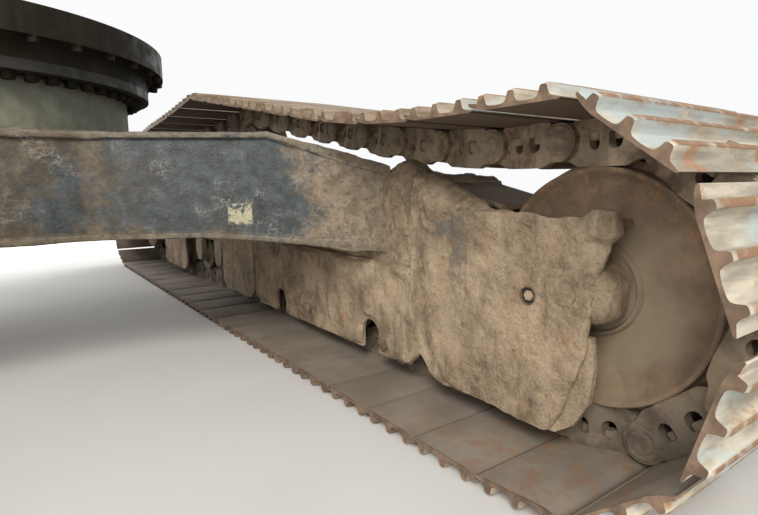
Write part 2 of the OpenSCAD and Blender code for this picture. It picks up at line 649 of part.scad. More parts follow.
flange_low = tub_top - tub_flange_t;
module slew_tub() color("#5d6457") difference() {
    rotate_extrude() polygon([[tub_r - tub_wall, leg_top + seat_gap], [tub_r, leg_top + seat_gap],
        [tub_r, flange_low], [tub_flange_r, flange_low], [tub_flange_r, tub_top],
        [gear_root_r, tub_top], [gear_root_r, flange_low], [tub_r - tub_wall, flange_low]]);
    hole_ring(inner_bolts, inner_bolt_r, inner_hole_r, flange_low - 1, tub_flange_t + 2);
}

// Slewing ring: the toothed inner race stands on the tub, the outer race turns round it
function tooth(i, f, r) = let(a = (i + f)*360/gear_teeth) r*[cos(a), sin(a)];
module slew_inner_race() color(dark) {
    difference() {
        translate([0, 0, race_low]) cylinder(r = inner_race_out, h = race_h);
        translate([0, 0, race_low - 1]) linear_extrude(height = race_h + 2)
            polygon([for (i = [0:gear_teeth-1]) each [tooth(i, -0.18, gear_tip_r),
                tooth(i, 0.18, gear_tip_r), tooth(i, 0.32, gear_root_r), tooth(i, 0.68, gear_root_r)]]);
        hole_ring(inner_bolts, inner_bolt_r, inner_hole_r, race_low - 1, race_h/2);
    }
    rotate_extrude() translate([ball_track_r, ball_z]) circle(r = ball_r, $fn = 32);
}

module slew_outer_race() color(dark) difference() {
    translate([0, 0, outer_low]) cylinder(r = outer_r, h = outer_h);
    translate([0, 0, outer_low - 1]) cylinder(r = ball_track_r + race_gap/2, h = outer_h + 2);
    rotate_extrude() translate([ball_track_r, ball_z]) circle(r = ball_r + ball_gap, $fn = 32);
    hole_ring(outer_bolts, outer_bolt_r, outer_hole_r, outer_low - 1, outer_h + 2);
}

// Swivel joint that passes the oil to the travel motors, on a round foot in the well
module swivel_joint() color(steel) translate([0, 0, leg_low + lip_t + seat_gap]) {
    cylinder(r = belly_hole_r + 30, h = 16);
    cylinder(r = swivel_r, h = swivel_h);
    translate([0, 0, swivel_h - 1]) cylinder(r = 0.76*swivel_r, h = swivel_h/3);
    for (a = [45:90:315]) rotate([90, 0, a]) translate([0, 0, -6])
        linear_extrude(height = 12) polygon([[swivel_r - 4, 15], [belly_hole_r - 20, 15], [swivel_r - 4, 120]]);
}

carbody_center();
belly_cover();
leg();  // leg_front_left
mirror([0, 1, 0]) leg();  // leg_front_right
mirror([1, 0, 0]) leg();  // leg_rear_left
mirror([1, 0, 0]) mirror([0, 1, 0]) leg();  // leg_rear_right
slew_tub();
slew_inner_race();
slew_outer_race();
swivel_joint();
on_left() side_frame();  // side_frame_left
on_right() side_frame();  // side_frame_right
on_left() idler_guards();  // idler_guards_left
on_right() idler_guards();  // idler_guards_right
on_left() idler();  // idler_left
on_right() idler();  // idler_right
on_left() idler_yoke();  // idler_yoke_left
on_right() idler_yoke();  // idler_yoke_right
on_left() bottom_rollers();  // bottom_rollers_left
on_right() bottom_rollers();  // bottom_rollers_right
on_left() carrier_rollers();  // carrier_rollers_left
on_right() carrier_rollers();  // carrier_rollers_right
on_left() roller_guards();  // roller_guards_left
on_right() roller_guards();  // roller_guards_right
on_left() sprocket();  // sprocket_left
on_right() sprocket();  // sprocket_right
on_left() final_drive();  // final_drive_left
on_right() final_drive();  // final_drive_right
on_left() travel_motor();  // travel_motor_left
on_right() travel_motor();  // travel_motor_right
on_left() motor_cover();  // motor_cover_left
on_right() motor_cover();  // motor_cover_right
on_left() step();  // step_left
on_right() step();  // step_right
on_left() track_chain();  // track_chain_left
on_right() track_chain();  // track_chain_right
on_left() track_shoes();  // track_shoes_left
on_right() track_shoes();  // track_shoes_right
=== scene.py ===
"""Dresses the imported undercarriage: shoes, links, wheels, legs, ring bolts, dried mud, finishes, stage."""

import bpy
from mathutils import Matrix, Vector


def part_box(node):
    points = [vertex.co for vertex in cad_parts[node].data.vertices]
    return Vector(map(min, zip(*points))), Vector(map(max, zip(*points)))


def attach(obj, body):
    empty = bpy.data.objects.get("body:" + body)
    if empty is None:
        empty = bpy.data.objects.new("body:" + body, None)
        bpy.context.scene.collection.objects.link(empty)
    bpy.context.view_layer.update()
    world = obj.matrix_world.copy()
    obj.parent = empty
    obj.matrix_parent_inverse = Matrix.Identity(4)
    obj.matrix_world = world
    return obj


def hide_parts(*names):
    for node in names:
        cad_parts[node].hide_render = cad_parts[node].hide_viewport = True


bl_info = {
    "name": "Crawler Undercarriage Dressing",
    "version": (1, 0, 0),
    "blender": (4, 5, 0),
    "location": "View3D > Sidebar > Undercarriage",
    "description": "Builds the fine shapes and finishes of a crawler undercarriage round its packed frame",
    "category": "Object",
}

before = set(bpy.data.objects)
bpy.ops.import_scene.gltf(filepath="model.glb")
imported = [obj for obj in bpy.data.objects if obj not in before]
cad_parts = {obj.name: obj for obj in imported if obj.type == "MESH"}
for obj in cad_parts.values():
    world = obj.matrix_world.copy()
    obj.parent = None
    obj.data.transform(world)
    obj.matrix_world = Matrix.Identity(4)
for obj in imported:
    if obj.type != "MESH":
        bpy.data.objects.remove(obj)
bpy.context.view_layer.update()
import math

import bpy
import numpy as np
from bpy.props import FloatProperty, FloatVectorProperty, IntProperty, PointerProperty
from mathutils import Matrix, Vector

MM = 0.001
LOWER, UPPER = "undercarriage", "upper_ring"
SIDES = (("left", 1), ("right", -1))


def centre(node):
    """Middle of a CAD node's box."""
    low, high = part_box(node)
    return (np.array(low) + np.array(high)) / 2


IDLER = centre("idler_left")
IDLER_X, IDLER_Z = float(IDLER[0]), float(IDLER[2])
SPROCKET = centre("sprocket_left")
TRACK_Y = float(centre("track_shoes_left")[1])
RING_LOW = float(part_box("slew_outer_race")[0][2])
TUB_LOW, FLANGE_TOP = (float(corner[2]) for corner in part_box("slew_tub"))
BELLY_LOW = float(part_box("belly_cover")[0][2])
# half width of a side frame, and the outer face of a guard plate from the track's middle
FRAME_WALL, GUARD_FACE = 0.150, 0.180
# the guards' plug from the idler's axle
PLUG_X, PLUG_Z = -0.091, -0.020
# bolt pairs of a shoe along its link, and the windows over them
BOLTS = (-0.0185, 0.0345)


def length(name, text, value, low=0.0):
    return FloatProperty(name=name, description=text, default=value, min=low, max=5.0, unit="LENGTH",
                         precision=4)


def colour(name, text, value):
    return FloatVectorProperty(name=name, description=text, default=value, size=3, subtype="COLOR",
                               min=0, max=1)


class TrackSettings(bpy.types.PropertyGroup):
    pitch: length("Pitch", "Distance between neighbouring chain pins", 0.1905)
    links: IntProperty(name="Links", description="Links and shoes in one track", default=49, min=40, max=60)
    rail: length("Rail height", "From the pin centre to the rail face", 0.056)
    foot: length("Foot height", "From the pin centre to the shoe's seat", 0.041)
    tread: length("Idler tread", "Radius of the idler's tread", 0.2457)
    shoe_width: length("Shoe width", "Width of a shoe across the track", 0.710)
    plate: length("Plate", "Thickness of a shoe between its lugs", 0.008)
    lug: length("Lug height", "Height of a lug above the plate", 0.023)
    lug_step: length("Lug step", "From the middle lug to an outer lug", 0.066)
    lug_tip: length("Lug tip", "Width of a lug's tip", 0.013)
    strip: length("Link strip", "From the track's middle to the middle of a strip of links", 0.069)
    carrier_height: length("Carried height", "Height of the pin line over the front carrier roller", 0.929)
    carrier_rear_height: length("Rear carried height", "Height of the pin line over the rear roller", 0.867)
    carrier_front: length("Front carrier", "Front carrier roller from the track's middle", 0.036)
    carrier_rear: length("Rear carrier", "Rear carrier roller from the track's middle", -0.800, -2.0)
    level: length("Level run", "Level length of chain behind the top of the idler", 0.180)
    bend: length("Bend", "Length of the bend where the upper run levels out", 0.520)
    sag: length("Sag", "Sag of the upper run between the carrier rollers", 0.008)
    bare: colour("Rubbed steel", "Colour of the rubbed outer faces of the shoes", (0.52, 0.475, 0.380))
    rust: colour("Rust", "Colour of the shoes' rusty ends", (0.165, 0.108, 0.070))
    dust: colour("Dust", "Colour of the dust on the shoes' inner faces", (0.215, 0.184, 0.148))
    link: colour("Link iron", "Colour of the links", (0.260, 0.190, 0.128))


class BodySettings(bpy.types.PropertyGroup):
    crust: length("Crust", "Thickness of the dried mud", 0.010)
    bead: length("Weld bead", "Radius of a weld bead", 0.0055)
    paint: colour("Paint", "Colour of the frame's paint", (0.032, 0.042, 0.046))
    mud: colour("Mud", "Colour of the dried mud", (0.340, 0.262, 0.176))
    mud_dark: colour("Damp mud", "Colour of the mud in cracks and shade", (0.125, 0.085, 0.050))
    idler: colour("Idler", "Colour of the idler's rust", (0.220, 0.150, 0.098))
    tub: colour("Tub", "Colour of the tub's paint", (0.178, 0.184, 0.134))
    race: colour("Race", "Colour of the greasy ring", (0.0110, 0.0095, 0.0060))


class StageSettings(bpy.types.PropertyGroup):
    floor: colour("Floor", "Colour of the floor", (0.62, 0.61, 0.59))
    sky: FloatProperty(name="Sky", description="Strength of the sky's even light", default=0.62, min=0, max=3)
    key: FloatProperty(name="Key", description="Power of the large lamp", default=845.0, min=0, unit="POWER")
    lens: length("Lens", "Focal length of the camera", 0.02497)


def smooth(x):
    """Soft step: 0 below 0, 1 above 1, three squares less two cubes between."""
    x = np.clip(x, 0.0, 1.0)
    return x * x * (3 - 2 * x)


def lattice(ix, iy, iz, seed):
    """Repeatable number from 0 to 1 for each lattice point: the fraction of a large sine of its place."""
    n = np.sin(ix * 127.1 + iy * 311.7 + iz * 74.7 + seed * 53.3) * 43758.5453
    return n - np.floor(n)


def noise(p, size, seed=0.0):
    """Value noise from -1 to 1: lattice numbers, one size apart, blended by soft steps on each axis."""
    q = p / size
    i = np.floor(q)
    f = q - i
    f = f * f * (3 - 2 * f)
    total = 0.0
    for dx in (0, 1):
        for dy in (0, 1):
            for dz in (0, 1):
                w = ((f[..., 0] if dx else 1 - f[..., 0]) * (f[..., 1] if dy else 1 - f[..., 1])
                     * (f[..., 2] if dz else 1 - f[..., 2]))
                total = total + w * lattice(i[..., 0] + dx, i[..., 1] + dy, i[..., 2] + dz, seed)
    return total * 2 - 1


def rough(p, size, seed=0.0, octaves=4):
    """Sum of value noises, each half the size and half the height of the one before."""
    return sum(noise(p, size / 2 ** k, seed + 7 * k) / 2 ** k for k in range(octaves))


def lumps(p, share, size, seed, octaves=5):
    """A mean share of 1, and for the rest the rough pattern."""
    return share + (1 - share) * rough(p, size, seed, octaves)


def quads(rows, cols, wrap_rows=False, wrap_cols=False):
    """Four-cornered faces of a grid of points, row by row, joined to itself where it wraps."""
    r = np.arange(rows if wrap_rows else rows - 1)[:, None]
    c = np.arange(cols if wrap_cols else cols - 1)[None, :]
    r2, c2 = (r + 1) % rows, (c + 1) % cols
    return np.stack([r * cols + c, r * cols + c2, r2 * cols + c2, r2 * cols + c], -1).reshape(-1, 4)


def xyz(x, y, z):
    """Points from three arrays, spread to one shape."""
    return np.stack(np.broadcast_arrays(x, y, z), -1)


def angles(count, start=0.0):
    """Even angles round a circle, the first one a share of a step past zero."""
    return (np.arange(count) + start) * 2 * math.pi / count


def unit(v):
    """Vectors of length 1."""
    return v / np.linalg.norm(v, axis=-1, keepdims=True)


def wound(faces, back):
    """Faces, with their corners in the other order where they have to face the other way."""
    return faces[:, ::-1] if back else faces


def need(name):
    """A material that the finishes step has made."""
    if name not in bpy.data.materials:
        raise RuntimeError("make the finishes first: " + name)
    return bpy.data.materials[name]


def put(name, verts, faces, body, finish, angle, stands_for=(), values=None, back=False, slot=None):
    """A new mesh object from points and arrays of faces, shaded smooth below an angle, riding on a body."""
    verts = np.asarray(verts, float).reshape(-1, 3)
    faces = [wound(np.asarray(f), back) for f in faces if len(f)]
    mesh = bpy.data.meshes.new(name)
    loops = np.concatenate([f.ravel() for f in faces]).astype(np.int32)
    sizes = np.concatenate([np.full(len(f), f.shape[1]) for f in faces])
    mesh.vertices.add(len(verts))
    mesh.vertices.foreach_set("co", verts.ravel().astype(np.float32))
    mesh.loops.add(len(loops))
    mesh.loops.foreach_set("vertex_index", loops)
    mesh.polygons.add(len(sizes))
    mesh.polygons.foreach_set("loop_start", np.concatenate([[0], np.cumsum(sizes)[:-1]]).astype(np.int32))
    mesh.polygons.foreach_set("use_smooth", np.ones(len(sizes), bool))
    for key, value in (values or {}).items():
        numbers = np.asarray(value, np.float32).ravel()
        mesh.attributes.new(key, "FLOAT", "POINT").data.foreach_set("value", numbers)
    mesh.update(calc_edges=True)
    mesh.validate()
    mesh.set_sharp_from_angle(angle=math.radians(angle))
    mesh.materials.append(need(finish))
    obj = bpy.data.objects.new(name, mesh)
    bpy.context.scene.collection.objects.link(obj)
    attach(obj, body)
    slot or finish
    if stands_for:
        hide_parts(*stands_for)


def put_pair(stem, points, faces, finish, angle, stands_for=None, back=False, **rest):
    """One object for each track: points whose y is from the left track's middle, and their mirror image."""
    for name, side in SIDES:
        p = np.array(points, float)
        p[..., 1] = side * (TRACK_Y + p[..., 1])
        put(stem + name, p, faces, LOWER, finish, angle, [stands_for + name] if stands_for else (),
            back=(side < 0) != back, **rest)


def repeat(verts, faces, count):
    """Face arrays of a shape that is repeated: the same faces, moved on by its number of points each time."""
    step = np.arange(count)[:, None, None] * verts
    return [(f[None] + step).reshape(-1, f.shape[1]) for f in faces]


def join(*shapes):
    """Points, faces and a wear value of several shapes as one."""
    verts, faces, wear, n = [], [], [], 0
    for v, f, *w in shapes:
        v = np.asarray(v, float).reshape(-1, 3)
        verts.append(v)
        wear.append(np.broadcast_to(w[0] if w else 0.0, len(v)))
        faces += [np.asarray(a) + n for a in f]
        n += len(v)
    return np.concatenate(verts), faces, np.concatenate(wear)


def prism(profile, stations, worn):
    """A closed profile (u, v) carried along y through the stations, with both ends closed by one face each.
    worn(y, v) gives each point's v with its wear."""
    n, m = len(profile), len(stations)
    points = xyz(profile[:, 0], stations[:, None], profile[:, 1])
    points[..., 2] = worn(points[..., 1], points[..., 2])
    ends = np.stack([np.arange(n)[::-1], (m - 1) * n + np.arange(n)])
    return points.reshape(-1, 3), [quads(m, n, wrap_cols=True), ends]


def turned(profile, sides, axis="y", closed=False):
    """A closed or open profile (radius, height) carried round an axis: r cos a, r sin a and the height."""
    a = angles(sides)[:, None]
    r, h = profile.T
    c, s = np.cos(a) * r, np.sin(a) * r
    points = xyz(c, h, s) if axis == "y" else xyz(c, -s, h)
    return points.reshape(-1, 3), [quads(sides, len(profile), True, closed)]


def capped(profile, sides, axis="y"):
    """A profile carried round an axis, with its last ring closed by one face."""
    v, f = turned(profile, sides, axis)
    last = np.arange(1, sides + 1) * len(profile) - 1
    return v, f + [wound(last[None], axis == "y")]


def bolt(radius, height, washer=0.0):
    """Hexagon head on the Z axis: its outline at the seat, the edge and inside the chamfer, closed on top."""
    rows = [[radius, 0], [radius, 0.8 * height], [0.86 * radius, height], [0.25 * radius, height]]
    if washer:
        rows = [[washer, 0], [washer, 0.2 * height], [radius, 0.2 * height]] + rows[1:]
    return capped(np.array(rows), 6, "z")


def hung(verts, faces):
    """A shape turned upside down."""
    return verts * [1, 1, -1], [wound(f, True) for f in faces]


def mirrored(verts, faces, side):
    """A shape as it is for side 1, and its mirror image across y = 0 for side -1."""
    return verts * [1, side, 1], [wound(f, side < 0) for f in faces]


def studs(places, axis, sign, radius, height):
    """Hexagon heads at several places, seated across y or z and turned to the side given by the sign."""
    v, f = bolt(radius, height)
    v = v[:, [0, 2, 1]] * [1, sign, 1] if axis == "y" else v * [1, 1, sign]
    f = [wound(a, (axis == "y") != (sign < 0)) for a in f]
    return (np.asarray(places, float)[:, None] + v).reshape(-1, 3), repeat(len(v), f, len(places))


def tube(path, radius, ripple):
    """A round bead along a path: at each point a ring across the tangent, its radius times 1 + ripple."""
    sides = 8
    t = unit(np.gradient(path, axis=0))
    a = unit(np.cross(t, [0.31, 0.17, 0.93]))
    b = np.cross(t, a)
    g = angles(sides)[None, :, None]
    ring = a[:, None] * np.cos(g) + b[:, None] * np.sin(g)
    verts = path[:, None] + ring * (radius * (1 + ripple))[:, None, None]
    ends = np.stack([np.arange(sides)[::-1], (len(path) - 1) * sides + np.arange(sides)])
    return verts.reshape(-1, 3), [quads(len(path), sides, wrap_cols=True), ends]


def along(path):
    """Distance along a path to each of its points."""
    return np.r_[0, np.cumsum(np.linalg.norm(np.diff(path, axis=0), axis=1))]


def weld(path, radius, seed):
    """A weld bead: a tube whose radius swells and shrinks every four millimetres."""
    seg = along(path)
    s = np.linspace(0, seg[-1], max(int(seg[-1] / 0.004), 8))
    p = np.stack([np.interp(s, seg, path[:, k]) for k in range(3)], -1)
    return tube(p, radius, 0.16 * np.sin(s * 520 + seed) + 0.12 * noise(p, 0.03, seed))


def track_middle():
    """Place along X of a track's middle: half the tumbler distance behind the idler's axle."""
    return IDLER_X - pin_loop(bpy.context.scene.track_settings)[1]


def on_track(points):
    """Points drawn about a track's own middle, brought to its place along X."""
    return np.asarray(points, float) + [track_middle(), 0, 0]


def pin_loop(t):
    """Pins of the closed chain in X and Z, and half the tumbler distance. The line is a lower run, an arc
    round the sprocket, the tangent up to the rear carrier roller, a shallow parabola up to the front one, a
    straight fall, a parabola that levels out, a level run and the polygon round the idler. The tumbler
    distance is solved so that the links close it."""
    p, teeth, clearance = t.pitch, 21, 0.0003
    low = t.foot + t.plate + t.lug
    reach = t.tread + t.rail + clearance
    step = 2 * math.atan(p / 2 / reach)
    radius = math.hypot(p / 2, reach)
    nose = math.ceil(math.pi / step - 0.5)
    past = (nose + 0.5) * step - math.pi
    hub = low + radius * math.cos(past)
    top = hub + reach
    # a link takes two of the sprocket's teeth
    turn = 4 * math.pi / teeth
    wheel = p / 2 / math.sin(turn / 2)
    wheel_z = low + wheel
    carried, rise = t.carrier_front - t.carrier_rear, t.carrier_height - t.carrier_rear_height

    def lengths(d):
        """Lengths of the loop's runs for a tumbler distance d, with the sprocket tangent's slope and the
        length and fall of the straight line."""
        dx, dz = t.carrier_rear + d / 2, t.carrier_rear_height - wheel_z
        gap = math.hypot(dx, dz)
        slope = math.atan2(dz, dx) - math.asin(wheel / gap)
        line = d / 2 - t.level - t.bend - t.carrier_front
        fall = (t.carrier_height - top) / (t.bend / 2 + line)
        runs = [d - radius * math.sin(past), (math.pi - slope) / turn * p,
                math.sqrt(gap * gap - wheel * wheel), math.hypot(carried, rise),
                line * math.sqrt(1 + fall * fall), t.bend * (1 + fall * fall / 6), t.level + p / 2, nose * p]
        return runs, slope, line, fall

    # a first guess of the tumbler distance, mended three times by half of what the loop is too long
    d = 0.39 * t.links * p
    for _ in range(3):
        d -= (sum(lengths(d)[0]) - t.links * p) / 2
    runs, slope, line, fall = lengths(d)
    starts = np.r_[0, np.cumsum(runs)]
    s = np.arange(t.links) * starts[-1] / t.links
    front, rear = d / 2, -d / 2
    k = np.clip(np.searchsorted(starts, s, side="right") - 1, 0, 7)
    s = s - starts[k]
    a = s / p * turn
    f3 = s / runs[3]
    f4 = s / runs[4] * line
    r5 = (runs[5] - s) * (1 - (fall * (runs[5] - s) / t.bend) ** 2 / 6)
    a7 = step / 2 + s / p * step
    choices = [
        (front - radius * math.sin(past) - s, 0 * s + low),
        (rear - wheel * np.sin(a), wheel_z - wheel * np.cos(a)),
        (rear - wheel * math.sin(slope) + s * math.cos(slope),
         wheel_z + wheel * math.cos(slope) + s * math.sin(slope)),
        (t.carrier_rear + f3 * carried, t.carrier_rear_height + f3 * rise - 4 * t.sag * f3 * (1 - f3)),
        (t.carrier_front + f4, t.carrier_height - fall * f4),
        (front - t.level - r5, top + fall / (2 * t.bend) * r5 * r5),
        (front - t.level + s, 0 * s + top),
        (front + radius * np.sin(a7), hub + radius * np.cos(a7))]
    return np.stack([np.choose(k, places) for places in zip(*choices)], -1), front


def along_links(base, pins):
    """A shape drawn about one link, repeated at every link: its u runs from pin to pin, its v away from the
    loop's inside, its y across."""
    nxt = np.roll(pins, -1, axis=0)
    mid, d = (pins + nxt) / 2, unit(nxt - pins)
    u, y, v = base[:, 0], base[:, 1], base[:, 2]
    x = mid[:, :1] + d[:, :1] * u - d[:, 1:] * v
    z = mid[:, 1:] + d[:, 1:] * u + d[:, :1] * v
    return xyz(x, y, z)


class Finish:
    """Builds one procedural material from noises on Object coordinates."""

    def __init__(self, name):
        self.mat = bpy.data.materials.get(name) or bpy.data.materials.new(name)
        self.mat.use_nodes = True
        self.tree = self.mat.node_tree
        self.tree.nodes.clear()
        self.shader = self.new("BsdfPrincipled")
        self.link(self.shader.outputs[0], self.new("OutputMaterial").inputs[0])
        self.coords = self.new("TexCoord").outputs["Object"]

    def new(self, kind, **numbers):
        """A new node, with numbers set on its named sockets."""
        node = self.tree.nodes.new("ShaderNode" + kind)
        for key, value in numbers.items():
            node.inputs[key].default_value = value
        return node

    def link(self, a, b):
        self.tree.links.new(a, b)

    def feed(self, socket, value):
        """Links another node's output to a socket, or sets a number or colour on it."""
        if isinstance(value, bpy.types.NodeSocket):
            self.link(value, socket)
        else:
            socket.default_value = value

    def noise(self, scale, detail, roughness, stretch=None):
        """Noise texture on the coordinates, which may be multiplied by a stretch."""
        n = self.new("TexNoise", Scale=scale, Detail=detail, Roughness=roughness)
        place = self.coords
        if stretch:
            m = self.new("Mapping", Scale=stretch)
            self.link(place, m.inputs[0])
            place = m.outputs[0]
        self.link(place, n.inputs["Vector"])
        return n.outputs["Fac"]

    def ramp(self, value, low, high, to=(0.0, 1.0)):
        """Soft step of a value between two limits."""
        n = self.new("MapRange")
        n.interpolation_type = "SMOOTHSTEP"
        self.link(value, n.inputs["Value"])
        n.inputs["From Min"].default_value, n.inputs["From Max"].default_value = low, high
        n.inputs["To Min"].default_value, n.inputs["To Max"].default_value = to
        return n.outputs[0]

    def math(self, op, *values):
        n = self.new("Math")
        n.operation = op
        for socket, value in zip(n.inputs, values):
            self.feed(socket, value)
        return n.outputs[0]

    def add(self, a, b):
        return self.math("ADD", a, b)

    def times(self, a, b):
        return self.math("MULTIPLY", a, b)

    def off(self, value, middle):
        """Distance of a value from a middle, without its sign."""
        return self.math("ABSOLUTE", self.math("SUBTRACT", value, middle))

    def mix(self, factor, a, b):
        """Colour a where the factor is 0, b where it is 1."""
        n = self.new("Mix")
        n.data_type = "RGBA"
        self.link(factor, n.inputs[0])
        for k, value in ((6, a), (7, b)):
            self.feed(n.inputs[k], value if isinstance(value, bpy.types.NodeSocket) else (*value, 1.0))
        return n.outputs[2]

    def mottle(self, value, low, high, c, dark, pale):
        """One colour, darkened and lightened by a soft step of a value."""
        return self.mix(self.ramp(value, low, high), scaled(c, dark), scaled(c, pale))

    def coat(self, body, value, low, high, tint, most=1.0):
        """A tint laid over a colour by a soft step of a value, up to a largest share."""
        return self.mix(self.ramp(value, low, high, (0.0, most)), body, tint)

    def attribute(self, name):
        n = self.new("Attribute")
        n.attribute_name = name
        return n.outputs["Fac"]

    def axis(self, k):
        """The place along X, Y or Z."""
        n = self.new("SeparateXYZ")
        self.link(self.coords, n.inputs[0])
        return n.outputs[k]

    def upward(self):
        """How far a face looks up, from -1 to 1."""
        n = self.new("SeparateXYZ")
        self.link(self.new("NewGeometry").outputs["Normal"], n.inputs[0])
        return n.outputs[2]

    def done(self, colour_out, rough_out, height=None, bump=0.0, distance=0.004):
        self.feed(self.shader.inputs["Base Color"], colour_out)
        self.feed(self.shader.inputs["Roughness"], rough_out)
        if height is not None:
            b = self.new("Bump", Strength=bump, Distance=distance)
            self.link(height, b.inputs["Height"])
            self.link(b.outputs[0], self.shader.inputs["Normal"])


def scaled(c, k):
    """A colour made k times as bright, at most white."""
    return tuple(min(1.0, v * k) for v in c)


def shoe_steel(t):
    """Rolled shoe: rusty ends, dusty inner face, rubbed and mud-washed outer faces, by the wear value.
    Painted light keeps the pale rubbed steel round the idler; painted shade, partly rust, darkens the upper
    run's inner faces, and painted shade darkens the lips tucked under the next tails.
    """
    m = Finish("shoe_rust")
    wear, across = m.attribute("wear"), m.attribute("shade")
    fine, mid, wide = m.noise(160, 6, 0.65), m.noise(28, 5, 0.6), m.noise(7, 3, 0.5)
    streak = m.noise(30, 4, 0.6, (1.0, 0.16, 1.0))
    rust = m.mottle(mid, 0.35, 0.7, t.rust, 0.62, 1.45)
    orange = m.coat(rust, m.noise(46, 6, 0.7), 0.60, 0.80, (0.30, 0.150, 0.072))
    # inner faces: dust, stained more where the chain wraps the idler, and darker rust-brown higher up, partly
    # rust and partly painted shade on the upper run's downward-looking faces
    dust = m.mottle(wide, 0.3, 0.7, t.dust, 0.78, 1.15)
    wrap = m.ramp(m.axis(0), IDLER_X - 0.42, IDLER_X - 0.05)
    stain = m.times(m.ramp(m.noise(19, 6, 0.7), 0.45, 0.68), m.add(m.times(wrap, 0.7), 0.12))
    dust = m.mix(stain, dust, (0.235, 0.130, 0.068))
    # partly painted shade: darker rust-brown with height, for the upper run's inner faces that look down
    dust = m.coat(dust, m.axis(2), 0.20, 0.62, scaled(t.rust, 0.62), 0.8)
    # outer faces: rubbed steel, painted paler round the idler as painted light on the brighter-lit wrap,
    # brown behind it, dark tips of the lugs
    bare = m.mottle(streak, 0.34, 0.68, t.bare, 0.62, 1.32)
    bare = m.coat(bare, m.noise(11, 5, 0.65), 0.50, 0.66, (0.40, 0.215, 0.110))
    bare = m.coat(bare, m.noise(9, 4, 0.6, (1, 0.4, 1)), 0.48, 0.62, (0.50, 0.56, 0.56))
    tips = m.times(m.ramp(wear, 0.965, 1.03), m.ramp(mid, 0.28, 0.52))
    bare = m.mix(tips, bare, (0.270, 0.150, 0.082))
    brown = m.coat((0.150, 0.098, 0.058), streak, 0.34, 0.66, (0.350, 0.275, 0.195))
    # painted light: by the place along X the pale rubbed steel is kept to the idler's wrap, and further back
    # the outer faces stay brown
    bare = m.coat(brown, m.axis(0), IDLER_X - 0.30, IDLER_X + 0.05, bare)
    body = m.coat(dust, wear, 0.25, 0.5, orange)
    body = m.coat(body, m.add(wear, m.times(fine, 0.3)), 0.80, 0.98, bare)
    body = m.coat(body, across, 0.0, 1.0, scaled(t.rust, 0.8), 0.22)
    # painted shade: near-black where the wear value falls below 0, on the lip under the next tail and the
    # tail's end face
    body = m.coat(body, wear, -0.02, -0.75, (0.022, 0.017, 0.012), 0.92)
    height = m.add(m.times(fine, 0.35), m.add(mid, m.times(streak, 0.7)))
    m.done(body, m.ramp(fine, 0.2, 0.8, (0.62, 0.93)), height, 0.42)


def worn_iron(name, base, dust, amount):
    """Cast or forged iron: brown patches, pale dust that gathers on faces that look up, fine pits, and darker
    towards the ground, partly damp and partly painted shade.
    """
    m = Finish(name)
    fine, mid, wide = m.noise(190, 6, 0.7), m.noise(34, 5, 0.62), m.noise(9, 4, 0.55)
    iron = m.mottle(mid, 0.36, 0.68, base, 0.55, 1.5)
    iron = m.coat(iron, m.noise(58, 6, 0.7), 0.6, 0.76, (0.30, 0.115, 0.045))
    lay = m.add(m.ramp(wide, 0.40, 0.64, (0.0, amount)), m.ramp(m.upward(), 0.1, 0.9, (0.0, 0.55)))
    body = m.coat(iron, m.add(lay, m.times(fine, 0.25)), 0.12, 0.85, dust)
    # darker towards the ground: partly damp, partly painted shade under the machine
    body = m.coat(body, m.axis(2), 0.26, 0.12, (0.050, 0.047, 0.040), 0.62)
    m.done(body, m.ramp(mid, 0.3, 0.7, (0.70, 0.95)), m.add(m.times(fine, 0.5), mid), 0.45)


def idler_rust(b):
    """Cast idler: dusty, ochre-brown middle, redder and darker towards the rim, fine orange pitting."""
    m = Finish("cast_rust")
    dx = m.math("SUBTRACT", m.axis(0), IDLER_X)
    dz = m.math("SUBTRACT", m.axis(2), IDLER_Z)
    r = m.math("SQRT", m.add(m.times(dx, dx), m.times(dz, dz)))
    fine, mid, wide = m.noise(240, 6, 0.75), m.noise(26, 6, 0.65), m.noise(8, 4, 0.55)
    iron = m.mottle(mid, 0.34, 0.7, b.idler, 0.80, 1.18)
    dusty = m.coat((0.245, 0.190, 0.128), wide, 0.35, 0.65, (0.300, 0.232, 0.155))
    spread = m.add(m.ramp(r, 0.245, 0.12, (0.0, 0.75)), m.ramp(wide, 0.3, 0.7, (-0.3, 0.35)))
    low = m.ramp(dz, 0.05, -0.20, (0.0, 0.22))
    body = m.coat(iron, m.add(spread, low), 0.1, 0.9, dusty)
    blotch = m.ramp(m.noise(48, 6, 0.72), 0.50, 0.62)
    rim = m.add(m.ramp(dz, 0.02, 0.22, (0.0, 0.55)), m.ramp(r, 0.17, 0.25, (0.0, 0.30)))
    body = m.mix(m.times(blotch, rim), body, (0.370, 0.205, 0.092))
    body = m.coat(body, fine, 0.62, 0.75, (0.33, 0.150, 0.062), 0.75)
    body = m.coat(body, fine, 0.40, 0.30, (0.085, 0.058, 0.038), 0.55)
    rings = m.new("TexWave", Scale=26, Distortion=3.0, Detail=3)
    rings.wave_type, rings.rings_direction, rings.wave_profile = "RINGS", "Y", "SIN"
    shift = m.new("Mapping", Location=(-IDLER_X, 0, -IDLER_Z))
    m.link(m.coords, shift.inputs[0])
    m.link(shift.outputs[0], rings.inputs["Vector"])
    height = m.add(m.times(fine, 0.8), m.add(mid, m.times(rings.outputs["Fac"], 0.12)))
    m.done(body, m.ramp(mid, 0.3, 0.7, (0.72, 0.92)), height, 0.4)


